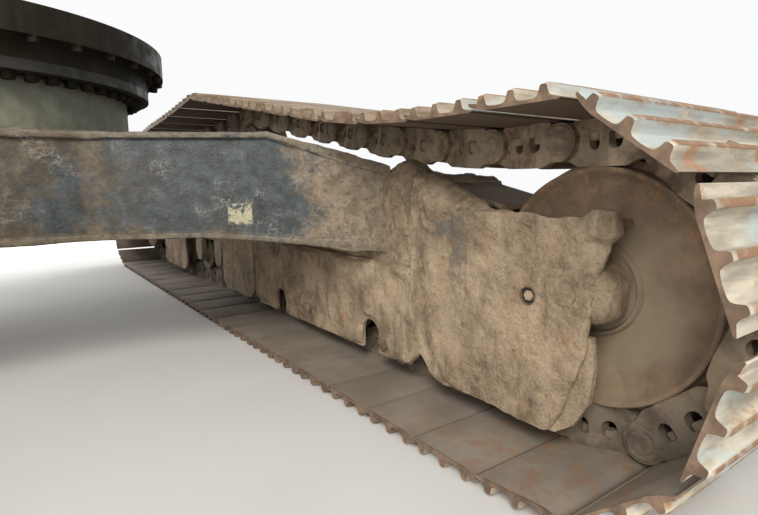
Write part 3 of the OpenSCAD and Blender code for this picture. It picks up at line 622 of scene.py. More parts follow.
def caked_mud(b):
    """Dried mud: tan, pitted and cracked, darker in hollows, with rubbed places where dark paint shows. Faces
    that look up are darkened as painted shade, and the guards' plug holes are painted near-black shade.
    """
    m = Finish("muddy_paint")
    fine, mid, wide = m.noise(150, 7, 0.72), m.noise(30, 6, 0.68), m.noise(6.5, 4, 0.55)
    # the damp mud's colour, also laid on as painted shade on faces that look up
    damp_and_shade = b.mud_dark
    mud = m.coat(scaled(damp_and_shade, 1.35), mid, 0.30, 0.66, b.mud)
    mud = m.coat(mud, wide, 0.40, 0.66, scaled(b.mud, 1.30))
    mud = m.coat(mud, m.noise(15, 5, 0.65), 0.57, 0.72, (0.300, 0.165, 0.085))
    # cracks: the edges of cells, on coordinates that a coarse noise warps
    cracks = m.new("TexVoronoi", Scale=21)
    cracks.feature = "DISTANCE_TO_EDGE"
    warp = m.new("VectorMath")
    warp.operation = "MULTIPLY_ADD"
    coarse = m.new("TexNoise", Scale=14, Detail=4)
    m.link(m.coords, coarse.inputs["Vector"])
    m.link(coarse.outputs["Color"], warp.inputs[0])
    warp.inputs[1].default_value = (0.09, 0.09, 0.09)
    m.link(m.coords, warp.inputs[2])
    m.link(warp.outputs[0], cracks.inputs["Vector"])
    line = m.ramp(cracks.outputs["Distance"], 0.0, 0.030, (1.0, 0.0))
    line = m.times(line, m.ramp(m.noise(5, 3, 0.5), 0.60, 0.74))
    mud = m.mix(m.times(line, 0.25), mud, scaled(damp_and_shade, 0.9))
    mud = m.coat(mud, fine, 0.50, 0.66, scaled(damp_and_shade, 0.8), 0.42)
    mud = m.coat(mud, fine, 0.48, 0.34, scaled(b.mud, 1.45), 0.25)
    mud = m.coat(mud, m.noise(62, 5, 0.7), 0.56, 0.70, scaled(damp_and_shade, 1.1), 0.40)
    mud = m.coat(mud, m.noise(24, 5, 0.7, (1.0, 1.0, 0.20)), 0.52, 0.66, scaled(damp_and_shade, 1.0), 0.45)
    scrape = m.add(m.noise(9, 6, 0.72, (1.0, 1.0, 0.45)), m.times(fine, 0.14))
    mud = m.coat(mud, scrape, 0.68, 0.74, scaled(b.paint, 1.25), 0.8)
    # painted shade: faces that look up are darkened, standing in for the shade of the machine's body over
    # them
    mud = m.coat(mud, m.upward(), 0.30, 0.85, scaled(damp_and_shade, 1.25), 0.42)
    mud = m.mix(m.times(m.attribute("bare"), 0.75), mud, (0.130, 0.122, 0.105))
    # near-black by the value set on the guards and roller guards: painted shade in the guards' plug holes,
    # and darker along the guard's seam and the roller guards' feet
    mud = m.mix(m.attribute("damp_and_shade"), mud, (0.030, 0.024, 0.018))
    height = m.add(m.times(fine, 0.7), m.math("SUBTRACT", m.times(mid, 1.8), m.times(line, 0.4)))
    m.done(mud, 0.94, height, 0.85, 0.009)


def slate_paint(b):
    """Dark slate paint, scuffed and dusty: mud gathers near the side frames and the middle, rust along the
    lips, and a torn blank patch of pale paint stays on the front and back of each leg."""
    m = Finish("slate_paint")
    fine, mid, wide = m.noise(170, 6, 0.7), m.noise(24, 6, 0.66), m.noise(5.0, 4, 0.55)
    scratch = m.noise(60, 5, 0.75, (1.0, 0.25, 1.0))
    paint = m.mottle(mid, 0.3, 0.7, b.paint, 0.50, 1.6)
    far = m.math("ABSOLUTE", m.axis(1))
    dust = m.mottle(mid, 0.35, 0.65, b.mud, 0.20, 0.42)
    dust = m.coat(dust, far, 0.66, 0.88, m.mottle(mid, 0.35, 0.65, b.mud, 0.42, 0.76))
    lay = m.ramp(far, 0.80, 0.94, (0.0, 0.62))
    for value, low, high, to in ((far, 0.48, 0.28, (0.0, 0.26)), (wide, 0.36, 0.66, (-0.32, 0.26)),
                                 (m.upward(), 0.3, 1.0, (0.0, 0.5)), (m.axis(2), 0.52, 0.43, (0.0, 0.22)),
                                 (scratch, 0.40, 0.70, (-0.10, 0.22))):
        lay = m.add(lay, m.ramp(value, low, high, to))
    body = m.coat(paint, m.add(lay, m.times(fine, 0.30)), 0.22, 0.78, dust)
    rust = m.times(m.ramp(m.attribute("wear"), 0.5, 1.0), m.ramp(mid, 0.25, 0.55))
    body = m.mix(rust, body, (0.150, 0.118, 0.078))
    # the patch: its middle from the centre line and from the ground, with torn edges
    patch_y, patch_z = 0.718, 0.511
    stray = m.add(m.noise(38, 4, 0.6), m.times(mid, 0.25))
    patch = m.times(m.ramp(m.off(m.axis(2), patch_z), 0.034, 0.029),
                    m.ramp(m.off(far, patch_y), 0.033, 0.028))
    body = m.mix(m.times(patch, m.ramp(stray, 0.56, 0.60)), body, (0.400, 0.385, 0.250))
    for size, stretch in ((13, (1.0, 0.35, 1.6)), (19, (1.0, 1.1, 0.5)), (27, (1.0, 0.6, 0.8))):
        line = m.off(m.noise(size, 3, 0.55, stretch), 0.5)
        pale = m.times(m.ramp(line, 0.014, 0.003), m.ramp(m.noise(6, 3, 0.6), 0.46, 0.60))
        body = m.mix(m.times(pale, 0.6), body, (0.240, 0.225, 0.190))
    body = m.coat(body, m.noise(75, 6, 0.75, (1.0, 0.5, 1.0)), 0.50, 0.62, (0.034, 0.030, 0.025), 0.55)
    body = m.coat(body, fine, 0.50, 0.38, (0.210, 0.180, 0.135), 0.18)
    height = m.add(m.times(fine, 0.5), m.add(mid, lay))
    m.done(body, m.ramp(lay, 0.0, 0.8, (0.52, 0.92)), height, 0.45)


def dull_paint(name, base, dust, amount, grease=None, gloss=0.5):
    """Dusty paint with runs of dirt that hang down, and grease along the top of the tub's flange."""
    m = Finish(name)
    m.shader.inputs["Specular IOR Level"].default_value = gloss
    fine, mid = m.noise(180, 6, 0.7), m.noise(20, 5, 0.6)
    runs = m.noise(16, 5, 0.62, (1.0, 1.0, 0.12))
    body = m.mottle(mid, 0.3, 0.7, base, 0.7, 1.35)
    lay = m.add(m.ramp(runs, 0.38, 0.68, (0.0, amount)), m.ramp(m.upward(), 0.2, 0.9, (0.0, 0.5)))
    body = m.mix(lay, body, dust)
    if grease:
        height = m.add(m.axis(2), m.times(mid, 0.02))
        body = m.coat(body, height, FLANGE_TOP - 0.034, FLANGE_TOP - 0.022, scaled(grease, 1.6))
    m.done(body, m.ramp(mid, 0.3, 0.7, (0.55, 0.85)), m.add(m.times(fine, 0.5), mid), 0.3, 0.003)


def plain_finish(name, c):
    """Stage finish with a faint mottle."""
    m = Finish(name)
    m.done(m.mottle(m.noise(2.5, 3, 0.5), 0.2, 0.8, c, 0.97, 1.03), 0.9)


# what a CAD node is made of, by the start of its name; the other nodes are muddy
NODE_FINISHES = (("slew_tub", "tub_paint"), ("slew_", "race_steel"), ("carbody", "slate_paint"),
                 ("leg", "slate_paint"), ("track_shoes", "shoe_rust"), ("idler_left", "cast_rust"),
                 ("idler_right", "cast_rust"), ("bottom", "roller_steel"), ("carrier", "roller_steel"),
                 ("track_chain", "worn_steel"), ("sprocket", "worn_steel"), ("travel", "worn_steel"),
                 ("swivel", "worn_steel"), ("", "muddy_paint"))


class Builder(bpy.types.Operator):
    """An operator that builds one group of pieces from the scene's settings"""
    bl_options = {"REGISTER", "UNDO"}

    def execute(self, context):
        self.build(context.scene)
        return {"FINISHED"}


class UNDERCARRIAGE_OT_finishes(Builder):
    """Makes the finishes and gives each CAD node its own"""
    bl_idname = "undercarriage.finishes"
    bl_label = "Finishes"

    def build(self, scene):
        t, b = scene.track_settings, scene.body_settings
        shoe_steel(t)
        worn_iron("worn_steel", t.link, (0.300, 0.238, 0.165), 0.60)
        worn_iron("roller_steel", scaled(t.link, 1.1), (0.22, 0.17, 0.11), 0.8)
        idler_rust(b)
        caked_mud(b)
        slate_paint(b)
        dull_paint("tub_paint", b.tub, (0.165, 0.150, 0.112), 0.45, b.race)
        dull_paint("race_steel", scaled(b.race, 1.35), (0.052, 0.036, 0.018), 0.30, gloss=0.12)
        for node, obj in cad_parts.items():
            finish = need(next(name for start, name in NODE_FINISHES if node.startswith(start)))
            if not obj.material_slots:
                obj.data.materials.append(finish)
            for s in obj.material_slots:
                s.material = finish


class UNDERCARRIAGE_OT_shoes(Builder):
    """Rolled shoes with three lugs, a bent leading lip, a thin tail and four bolt heads each"""
    bl_idname = "undercarriage.shoes"
    bl_label = "Track shoes"

    def profile(self, t):
        """Outline of a shoe along the chain: flat inner face, thin tail, three lugs with filleted feet and a
        lip that bends away under the next tail. The third column is 1 on the outer side."""
        f, p, step, tip = t.foot, t.foot + t.plate, t.lug_step, t.lug_tip / 2
        top = p + t.lug
        half = [(tip - 0.0035, 0), (tip - 0.0008, -0.0010), (tip + 0.0006, -0.0035), (tip + 0.0022, -0.0120),
                (tip + 0.0040, -0.0175), (tip + 0.0068, -0.0212), (tip + 0.0110, -0.0228)]
        lug = [(x, top + z) for x, z in half[::-1]] + [(-x, top + z) for x, z in half]
        hollow = [(-0.024, p - 0.0006), (-0.033, p - 0.0010), (-0.042, p - 0.0006)]
        inner = [(-0.0960, f + 0.0115), (-0.0880, f + 0.0078), (-0.0760, f + 0.0045), (-0.0660, f + 0.0013),
                 (-0.0580, f), (0.0925, f), (0.0945, f + 0.0001), (0.0970, f + 0.0012)]
        outer = [(0.0972, f + 0.0036), (0.0900, f + 0.0066)]
        for place, shape in ((step, lug + hollow), (0, lug + hollow), (-step, lug[:-2])):
            outer += [(place + x, z) for x, z in shape]
        outer += [(-step - 0.0145, top - 0.0160), (-step - 0.0220, top - 0.0155),
                  (-step - 0.0285, top - 0.0140), (-step - 0.0310, top - 0.0160)]
        return np.array([(x, z, 0.0) for x, z in inner] + [(x, z, 1.0) for x, z in outer])[::-1]

    def build(self, scene):
        t = scene.track_settings
        w = t.shoe_width / 2
        top = t.foot + t.plate + t.lug
        ys = np.array([-1, -0.9935, -0.97, -0.7, -0.35, 0, 0.35, 0.7, 0.97, 0.9935, 1]) * w
        profile = self.profile(t)

        def worn(y, v):
            """Lugs rounded off towards the shoe's ends, and a thinner edge."""
            edge = smooth((np.abs(y) / w - 0.955) / 0.045)
            high = smooth((v - top + 0.016) / 0.016)
            thin = smooth((np.abs(y) / w - 0.985) / 0.015) * (v > t.foot + 0.004)
            return v - high * edge * 0.0035 - thin * 0.0012

        base, faces = prism(profile[:, :2], ys, worn)
        u, y, v = base.T
        outer = np.tile(profile[:, 2], len(ys))
        # painted shade on the inner side: 0.6 on the lip where it tucks under the next tail, 1 on the tail's
        # end face at the joint
        hollow = np.maximum(0.6 * smooth((-u - 0.084) / 0.009), smooth((u - 0.0930) / 0.0012)) * (1 - outer)
        # wear: 0.05 inside, 0.55 at the ends, 0.7 bolt heads, 0.95 outside, 1.05 at the lugs' tips, and
        # below 0 where shade is painted: on the lip tucked under the next tail and on the tail's end face
        wear = 0.05 + 0.90 * outer + 0.10 * smooth((v - top + 0.006) / 0.006)
        wear = np.where(np.abs(y) > 0.992 * w, np.where(outer > 0.5, 0.95, 0.55), wear) - hollow
        # the end faces get points of their own, so that their finish stops at the edge
        n = len(profile)
        caps = np.concatenate([base[:n], base[-n:]])
        faces[1] = np.stack([len(base) + np.arange(n)[::-1], len(base) + n + np.arange(n)])
        body = (np.concatenate([base, caps]), faces, np.concatenate([wear, np.full(2 * n, 0.55)]))
        head, head_faces = bolt(0.0150, 0.0105)
        heads = [(head + [du, dy, t.foot + t.plate - 0.002], head_faces, 0.70)
                 for du in BOLTS for dy in (-t.strip, t.strip)]
        base, faces, wear = join(body, *heads)
        shade = np.repeat(np.random.default_rng(11).random(t.links), len(base))
        points = along_links(base, pin_loop(t)[0])
        dents = np.abs(rough(points, 0.045, 3.0, 3)) * (wear > 0.75)
        pull = unit(points - points.mean(axis=1, keepdims=True))
        points = points - pull * dents[..., None] * 0.0007
        put_pair("shoes_", on_track(points), repeat(len(base), faces, t.links), "shoe_rust", 28,
                 "track_shoes_", values={"wear": np.tile(wear, t.links), "shade": shade})


class UNDERCARRIAGE_OT_links(Builder):
    """Forged links with round ends, arched windows, nuts, pins and bushings"""
    bl_idname = "undercarriage.links"
    bl_label = "Chain links"

    def link(self, t):
        """One link as a grid of columns along u and four rows in v: rail, window's rail side, window's foot
        side, foot. Cells in the windows are left open. The plate's middle moves across y by a soft step along
        u, so that its leading end laps outside the next link."""
        hp, window, rail_end, foot_end = t.pitch / 2, 0.0145, 0.0440, 0.0385
        right = hp + np.sin(np.linspace(0, math.pi / 2, 9)[1:]) * foot_end
        inner = [c + window * math.cos(g) for c in BOLTS for g in np.linspace(math.pi, 0, 9)]
        u = np.unique(np.round(np.concatenate([-right, np.linspace(-hp, -0.05, 8), inner,
                                               np.linspace(0.05, hp, 8), right, [0.0]]), 6))
        n, out = len(u), np.abs(u)
        past = np.clip(out - hp, 0, None)
        round_end = np.sqrt(np.clip(rail_end ** 2 - (past * rail_end / foot_end) ** 2, 1e-8, None))
        level = rail_end + (t.rail - rail_end) * smooth((hp - 0.012 - out) / 0.03)
        rail = np.where(past > 0, round_end, level)
        round_end = np.sqrt(np.clip(foot_end ** 2 - np.clip(np.abs(out - hp), 0, foot_end) ** 2, 1e-8, None))
        foot = np.where(out > 0.078, round_end, t.foot - 0.0004 - smooth((out - 0.068) / 0.010) * 0.006)
        # distance from the nearer window's middle, as a share of its half width
        off = np.abs(u - np.where(u < sum(BOLTS) / 2, *BOLTS)) / window
        inside, brink = off < 0.999, np.abs(off - 1) < 0.001
        low = np.where(inside, -0.008 - 0.0145 * np.sqrt(np.clip(1 - off ** 2, 0, 1)),
                       np.where(brink, -0.008, -0.006))
        high = np.where(inside, 0.012 - 0.004 * off ** 8, np.where(brink, 0.008, 0.009))
        middle = -0.0093 + 0.0186 * smooth((u + 0.030) / 0.060)
        thick = 0.0182 + 0.010 * np.exp(-(u / 0.045) ** 2)
        rows = np.stack([-rail, low, high, foot])
        verts = np.stack([xyz(u, middle + s * thick / 2, rows) for s in (-1, 1)]).reshape(-1, 3)

        def wall(edge, step, back):
            """Faces between the plate's two sides, from points along an edge to the points a step further."""
            return wound(np.stack([edge, edge + 4 * n, edge + step + 4 * n, edge + step], -1), back)

        windows = [np.abs((u[:-1] + u[1:]) / 2 - c) < window for c in BOLTS]
        row, col = np.divmod(np.arange(3 * (n - 1)), n - 1)
        plate = quads(4, n)[(row != 1) | ~(windows[0] | windows[1])[col]]
        along_u, along_v = np.arange(n - 1), np.arange(3) * n
        walls = [wall(along_u, 1, False), wall(along_u + 3 * n, 1, True),
                 wall(along_v, n, True), wall(along_v + n - 1, n, False)]
        for open_cells in windows:
            cols = np.where(open_cells)[0] + n
            walls += [wall(cols, 1, True), wall(cols + n, 1, False),
                      wall(cols[:1], n, False), wall(cols[-1:] + 1, n, True)]
        return verts, [plate, wound(plate + 4 * n, True), np.concatenate(walls)]

    def plugs(self, t):
        """Domes of mud that fill the windows of a link, four to a link."""
        dome = capped(np.array([[0.0168, -0.004], [0.0150, 0.0015], [0.0100, 0.0045], [0.0040, 0.0052]]), 10)
        parts = []
        for s in (-1, 1):
            v, f = mirrored(*dome, s)
            parts += [(v + [du, s * (t.strip + dy), -0.004], f) for du, dy in zip(BOLTS, (-0.0050, 0.0130))]
        return join(*parts)

    def build(self, scene):
        t = scene.track_settings
        hp = t.pitch / 2
        link = self.link(t)
        nut, nut_faces = hung(*bolt(0.0135, 0.0150))
        pin = capped(np.array([[0.0335, -0.003], [0.0335, 0.0016], [0.0305, 0.0030], [0.0285, 0.0012],
                               [0.0205, 0.0010], [0.0190, 0.0034], [0.0150, 0.0042], [0.0045, 0.0036]]), 18)
        outline = np.array([[0.027, -0.051], [0.029, -0.049], [0.029, 0.049], [0.027, 0.051]])
        bush, bush_faces = turned(outline, 18)
        parts = [(bush + [hp, 0, 0], bush_faces)]
        for s in (-1, 1):
            for shape, place in ((link, [0, s * t.strip, 0]), (pin, [hp, s * (t.strip + 0.0184), 0])):
                v, f = mirrored(*shape, s)
                parts.append((v + place, f))
            parts += [(nut + [du, s * t.strip, 0.0118], nut_faces) for du in BOLTS]
        base, faces, _ = join(*parts)
        pins, front = pin_loop(t)
        mud, mud_faces, _ = self.plugs(t)
        # round the idler the windows are clear of mud
        packed = along_links(mud, pins)[pins[:, 0] < front - 0.30]
        packed += 0.0022 * np.stack([rough(packed, 0.012, 51.0 + k, 2) for k in range(3)], -1)
        put_pair("window_mud_", on_track(packed), repeat(len(mud), mud_faces, len(packed)), "worn_steel", 60)
        put_pair("chain_links_", on_track(along_links(base, pins)), repeat(len(base), faces, t.links),
                 "worn_steel", 32, "track_chain_")


class UNDERCARRIAGE_OT_idlers(Builder):
    """Cast idlers with a dished disc, a hub ring, a rounded rim and the middle flange"""
    bl_idname = "undercarriage.idlers"
    bl_label = "Idlers"

    def build(self, scene):
        # radius and half width, in millimetres, from the bore outwards
        half = [[39, 98], [40, 103], [60, 103], [65, 101.5], [67.5, 97], [68, 84], [71, 79.5],
                [77, 78], [88, 77.5], [90, 84], [92, 87.5], [96, 87.5], [98.5, 84], [101, 76.5],
                [108, 74.5], [123, 73.5], [150, 73], [190, 73], [214, 75], [226, 79.5], [233, 86],
                [238.5, 90], [243, 91], [245.8, 88.5], [245.8, 50], [247.5, 46.5], [258, 43.5],
                [260.8, 42], [261.8, 39]]
        profile = np.array(half + [[r, -h] for r, h in half[::-1]]) * MM
        sides, disc_edge, unevenness = 144, 0.24, 0.0012
        v, f = turned(profile, sides, closed=True)
        disc = np.tile(profile[:, 0] < disc_edge, sides)
        v[:, 1] += np.sign(v[:, 1]) * disc * unevenness * rough(v, 0.05, 5.0, 4)
        put_pair("idler_wheel_", v + [IDLER_X, 0, IDLER_Z], f, "cast_rust", 32, "idler_", back=True)


# distances of a leg's stations from the centre line: where it leaves the middle box, where its underside
# starts to fall, where it grows wider in plan and where its top starts to fall
LEG_ROOT, LEG_DROP, LEG_KNEE, LEG_FALL = 0.3303, 0.616, 0.736, 0.785


def leg_line(y):
    """Front face, back face, underside and top of a leg at a distance y from the centre line."""
    low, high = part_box("leg_front_left")
    wall = TRACK_Y - FRAME_WALL
    end = wall + 0.025
    xf = np.interp(y, [LEG_ROOT, LEG_KNEE, end], [0.692, 0.893, 1.228])
    xb = np.interp(y, [LEG_ROOT, LEG_KNEE, end], [0.300, 0.560, 0.640])
    top, under = float(high[2]), 0.442
    zt = np.interp(y, [0, LEG_FALL, wall, end], [top, top, top - 0.113, top - 0.133])
    zl = np.interp(y, [0, LEG_DROP, wall], [under, under, float(low[2])])
    return xf, xb, zl, zt


class UNDERCARRIAGE_OT_legs(Builder):
    """Box legs with plate lips, soft corners, weld beads and mud that thickens towards the side frames"""
    bl_idname = "undercarriage.legs"
    bl_label = "Legs"

    def build(self, scene):
        b = scene.body_settings
        lip, plate = 0.014, 0.018
        stops = [0, LEG_ROOT, LEG_DROP, LEG_KNEE, LEG_FALL, TRACK_Y - FRAME_WALL + 0.002]
        runs = [np.linspace(*ends) for ends in zip(stops, stops[1:], (20, 30, 16, 8, 34))]
        ys = np.unique(np.round(np.concatenate(runs), 5))
        xf, xb, zl, zt = leg_line(ys)
        # corners of the section: from the front face (1) or the back face (0), and up from the underside or,
        # where negative, down from the top
        corner = [(-lip, 0, 0), (lip, 1, 0), (lip, 1, plate), (0, 1, plate), (0, 1, -plate), (lip, 1, -plate),
                  (lip, 1, -1e-9), (-lip, 0, -1e-9), (-lip, 0, -plate), (0, 0, -plate), (0, 0, plate),
                  (-lip, 0, plate)]
        pts = [np.stack([(xf if front else xb) + dx, (zl if z >= 0 else zt) + z], -1)
               for dx, front, z in corner]
        cols, lips = [], []
        for k, n in enumerate((34, 3, 4, 30, 4, 3) * 2):
            a, c = pts[k], pts[(k + 1) % 12]
            cut = np.minimum(0.0022 / np.linalg.norm(c - a, axis=1, keepdims=True), 0.3)
            cols += [a + (c - a) * (cut + (1 - 2 * cut) * share) for share in np.linspace(0, 1, n)]
            lips += [float(k in (1, 5, 7, 11))] * n
        grid = np.stack(cols, 1)
        m, n = grid.shape[:2]
        p = xyz(grid[..., 0], ys[:, None], grid[..., 1])
        out = unit(np.roll(grid, -1, 1) - np.roll(grid, 1, 1)) @ np.array([[0, -1], [1, 0]])
        crust = smooth((p[..., 1] - 0.80) / 0.16) + 0.35 * smooth((0.40 - p[..., 1]) / 0.07)
        h = crust * (0.35 + 0.65 * np.clip(rough(p, 0.07, 2.0, 5) + 0.45, 0, 1.4)) * b.crust * 0.9
        h += 0.0008 * rough(p, 0.03, 8.0, 3)
        h = np.where(p[..., 1] < 0.34, np.maximum(h, 0.0012), h) * (1 - 0.6 * np.array(lips))
        p[..., [0, 2]] += out * h[..., None]
        ends = np.stack([np.arange(n), (m - 1) * n + np.arange(n)[::-1]])
        beads = [weld(xyz(x + dx, ys, z + 0.001), b.bead, 3.0)
                 for x, dx in ((xf, 0.001), (xb, -0.001)) for z in (zt - plate, zl + plate)]
        body = (p.reshape(-1, 3), [wound(quads(m, n, wrap_cols=True), True), ends], np.tile(lips, m))
        verts, faces, wear = join(body, *beads)
        for end, way in (("front", 1), ("rear", -1)):
            for name, side in SIDES:
                put("leg_box_%s_%s" % (end, name), verts * [way, side, 1], faces, LOWER, "slate_paint", 40,
                    ["leg_%s_%s" % (end, name)], {"wear": wear}, back=way * side < 0)


class UNDERCARRIAGE_OT_crust(Builder):
    """Dried mud on guard plates, side frames and roller guards: lumpy skins that wrap round the edges"""
    bl_idname = "undercarriage.crust"
    bl_label = "Dried mud"

    def guard(self, b):
        """Skin of the guard plate: rows go up in z, columns run from the rear edge over the inner face, round
        the front edge and back behind it."""
        foot, top, edge_x, half = 0.090, 0.527, 0.077, 0.006
        plug_z = IDLER_Z + PLUG_Z
        # rows and columns lie closer round the plug's hole
        zs = np.linspace(foot, top, 84)
        zs = np.sort(np.r_[zs[np.abs(zs - plug_z) > 0.027], plug_z + np.linspace(-0.024, 0.024, 17)])
        front_z = [foot, 0.139, *(IDLER_Z + np.array([-0.181, -0.125, -0.064, 0.016])), 0.507, top]
        front_x = edge_x - np.array([0.127, 0.085, 0.061, 0.041, 0.037, 0.028, 0, 0])
        back_z = [foot, 0.106, 0.152, IDLER_Z - 0.096, top]
        back_x = [-0.360, -0.400, -0.442, -0.476, -0.480]
        xf, xb = np.interp(zs, front_z, front_x), np.interp(zs, back_z, back_x)
        xf += 0.004 * noise(xyz(zs, 0, 0), 0.03, 4)
        f = np.linspace(0, 1, 96)
        middle = np.interp(plug_z, zs, (PLUG_X - xb) / (xf - xb))
        f = np.sort(np.r_[f[np.abs(f - middle) > 0.063], middle + np.linspace(-0.056, 0.056, 17)])
        xf, xb = xf[:, None], xb[:, None]
        a = np.linspace(0, math.pi, 12)[1:]
        px = np.concatenate([xb + (xf - xb) * f, xf + half * np.sin(a), xf - np.linspace(0.01, 0.03, 3)], 1)
        # each column's depth and normal: the flat face, the rounded edge, the back
        flat, back = np.zeros(len(f)), np.zeros(3)
        py = np.r_[flat, half * (1 - np.cos(a)), back + 2 * half]
        nx, ny = np.r_[flat, np.sin(a), back], np.r_[flat - 1, -np.cos(a), back + 1]
        pz = np.broadcast_to(zs[:, None], px.shape)
        face = xyz(px + IDLER_X, py - GUARD_FACE, pz)
        # the top and the lower edge lean over as well
        normal = unit(xyz(nx, ny, smooth((pz - 0.511) / 0.016) - smooth((0.106 - pz) / 0.016)))
        hole = np.hypot(px - PLUG_X, pz - plug_z)
        keep = smooth((hole - 0.017) / 0.006)
        seam = np.exp(-((px - xb - 0.045) / 0.012) ** 2)
        lump = smooth((np.abs(pz - 0.28) - 0.10) / 0.12) * 0.5 + 0.6
        h = b.crust * keep * (lump * lumps(face, 0.35, 0.075, 1.0) - 0.3 * seam)
        h = np.maximum(h, 0.0006 * keep) - 0.013 * (1 - smooth((hole - 0.0125) / 0.0035))
        h += 0.010 * smooth((pz - 0.451) / 0.05) * np.clip(0.3 + rough(face, 0.05, 6.0, 4), 0, 1)
        h += keep * 0.0022 * rough(face, 0.024, 71.0, 3)
        h += 0.012 * smooth((pz - IDLER_Z - 0.10) / 0.02) * smooth((px - 0.035) / 0.03)
        # painted shade near-black inside the plug's hole, and darker along the seam
        damp_and_shade = np.maximum(1 - smooth((hole - 0.0175) / 0.004),
                          0.7 * seam * smooth(0.7 + rough(face, 0.05, 12.0, 3)))
        bare = (smooth((rough(face, 0.07, 15.0, 4) - 0.10) / 0.25) * smooth((pz - IDLER_Z + 0.05) / 0.08)
                * smooth((-0.22 - px) / 0.10))
        return face + normal * h[..., None], [quads(*px.shape)], {"damp_and_shade": damp_and_shade, "bare": bare}

    def mound(self):
        """Mud heaped from the leg's end over the frame's shoulder and the guard's shelf: rows along x,
        columns over an arch from the inner wall across the ridge, each point moved out by a rough pattern."""
        rear, front = -0.640, -0.085
        x = np.linspace(rear, front, 110)
        ridge = np.interp(x, [rear, -0.563, -0.399, -0.217, -0.148, front],
                          [0.262, 0.278, 0.228, 0.174, 0.158, 0.130])
        toe = np.interp(x, [rear, -0.480, -0.440, front], [0.120, 0.060, 0.125, 0.125])
        wall = np.interp(x, [-0.500, -0.465], [-FRAME_WALL, -GUARD_FACE])
        wide = np.interp(x, [-0.360, -0.280], [1.0, 0.60])
        y = np.stack([wall + 0.004, wall - 0.010, wall + 0.004, wall + 0.030 * wide, wall + 0.060 * wide,
                      wall + 0.110 * wide], 1)
        z = np.stack([toe, 0.45 * toe + 0.55 * ridge, ridge - 0.014, ridge, ridge - 0.008, ridge - 0.045], 1)
        places = [0, 0.3, 0.55, 0.7, 0.82, 1.0]
        share = np.stack([np.interp(np.linspace(0, 1, 46), places, one) for one in np.eye(6)])
        y, z = y @ share, z @ share
        for grid in (y, z):
            for _ in range(14):
                grid[:, 1:-1] = (grid[:, :-2] + 2 * grid[:, 1:-1] + grid[:, 2:]) / 4
        face = xyz(x[:, None] + IDLER_X, y, z + IDLER_Z)
        normal = unit(xyz(0, -np.gradient(z, axis=1), np.gradient(y, axis=1)))
        h = 0.016 * lumps(face, 0.30, 0.09, 21.0) + 0.004 * rough(face, 0.022, 23.0, 3)
        h *= smooth((front - x) / 0.06)[:, None]
        return face + normal * h[..., None], [quads(*y.shape)]

    def yoke_nose(self):
        """Mud on the end of a sliding block: rings of a rounded square that grow over its face and fold back
        over its edge, moved outwards by a rough pattern."""
        a = angles(64)
        c, n = np.cos(a), np.sin(a)
        edge = (np.abs(c) ** 3.2 + np.abs(n) ** 3.2) ** (-1 / 3.2)
        inner = np.linspace(0.04, 0.9, 14)
        grow = np.r_[inner, 0.97, 1.0, 1.005, 1.0][:, None]
        out = np.r_[0.161 + 0.010 * (1 - inner ** 4), 0.162, 0.155, 0.135, 0.108][:, None]
        p = xyz(0.0855 * edge * c * grow, -out, 0.060 * edge * n * grow)
        h = 0.013 * lumps(p, 0.20, 0.034, 61.0, 4)
        flat = smooth((1.0 - grow) / 0.06)
        p[..., 0] += np.clip(h, 0, 0.004) * (1 - flat) * c
        p[..., 1] -= h * flat
        p[..., 2] += np.clip(h, 0, 1) * (1 - flat) * n
        return p.reshape(-1, 3), [quads(*h.shape, wrap_cols=True), np.arange(64)[None, ::-1]]

    def roller_skin(self):
        """Skin of the front roller guard, on the track's own middle line: a sheet over the plate with its
        arches left open, leaning back on to the frame above the plate's upper edge."""
        front = IDLER_X - track_middle() - 0.495
        rear, tip, low, top = front - 1.100, front + 0.046, 0.084, 0.374
        # the arches: height of their middle, half width, and half the distance between them
        arch, half, step = 0.136, 0.046, 0.322
        x, v = np.meshgrid(np.linspace(rear + 0.002, tip, 250), np.linspace(0, 1, 66), indexing="ij")
        foot = np.maximum(low + 0.001, np.maximum(low + 0.040 - np.minimum(x - rear, 0.040),
                                                  0.150 - np.clip(tip - x, 0, 0.060)))
        z = foot + (top - foot) * v
        # distance from the nearest arch, counted from the one 3.5 roller steps ahead of the track's middle;
        # the plate's last bay is whole
        dx = np.abs(np.mod(x - 3.5 * step + step, 2 * step) - step)
        away = np.where(z < arch, dx, np.hypot(dx, z - arch))
        away = np.where((x < rear + 0.18) & (dx < 0.1), 1.0, away)
        face = xyz(x, -0.1623 + 0.012 * smooth((z - 0.352) / 0.02), z)
        away += 0.009 * rough(face, 0.035, 33.0, 3) - 0.004
        heap = np.clip(rough(face, 0.12, 37.0, 4), 0, 1) * smooth((z - 0.27) / 0.08)
        h = 0.013 * lumps(face, 0.30, 0.08, 31.0) + 0.010 * heap + 0.001
        h *= smooth((away - half) / 0.014)
        h[:, [0, -1]] = h[[0, -1]] = -0.003
        face[..., 1] -= h
        face[..., 2] += 0.013 * rough(face, 0.045, 41.0, 3) * smooth((0.15 - z) / 0.05)
        # darker towards the plate's foot
        damp_and_shade = 0.55 * smooth((0.15 - z) / 0.06) * smooth(0.6 + rough(face, 0.06, 43.0, 3))
        faces = quads(*x.shape)
        return face, [faces[away.ravel()[faces].max(axis=1) > half + 0.001]], {"damp_and_shade": damp_and_shade}

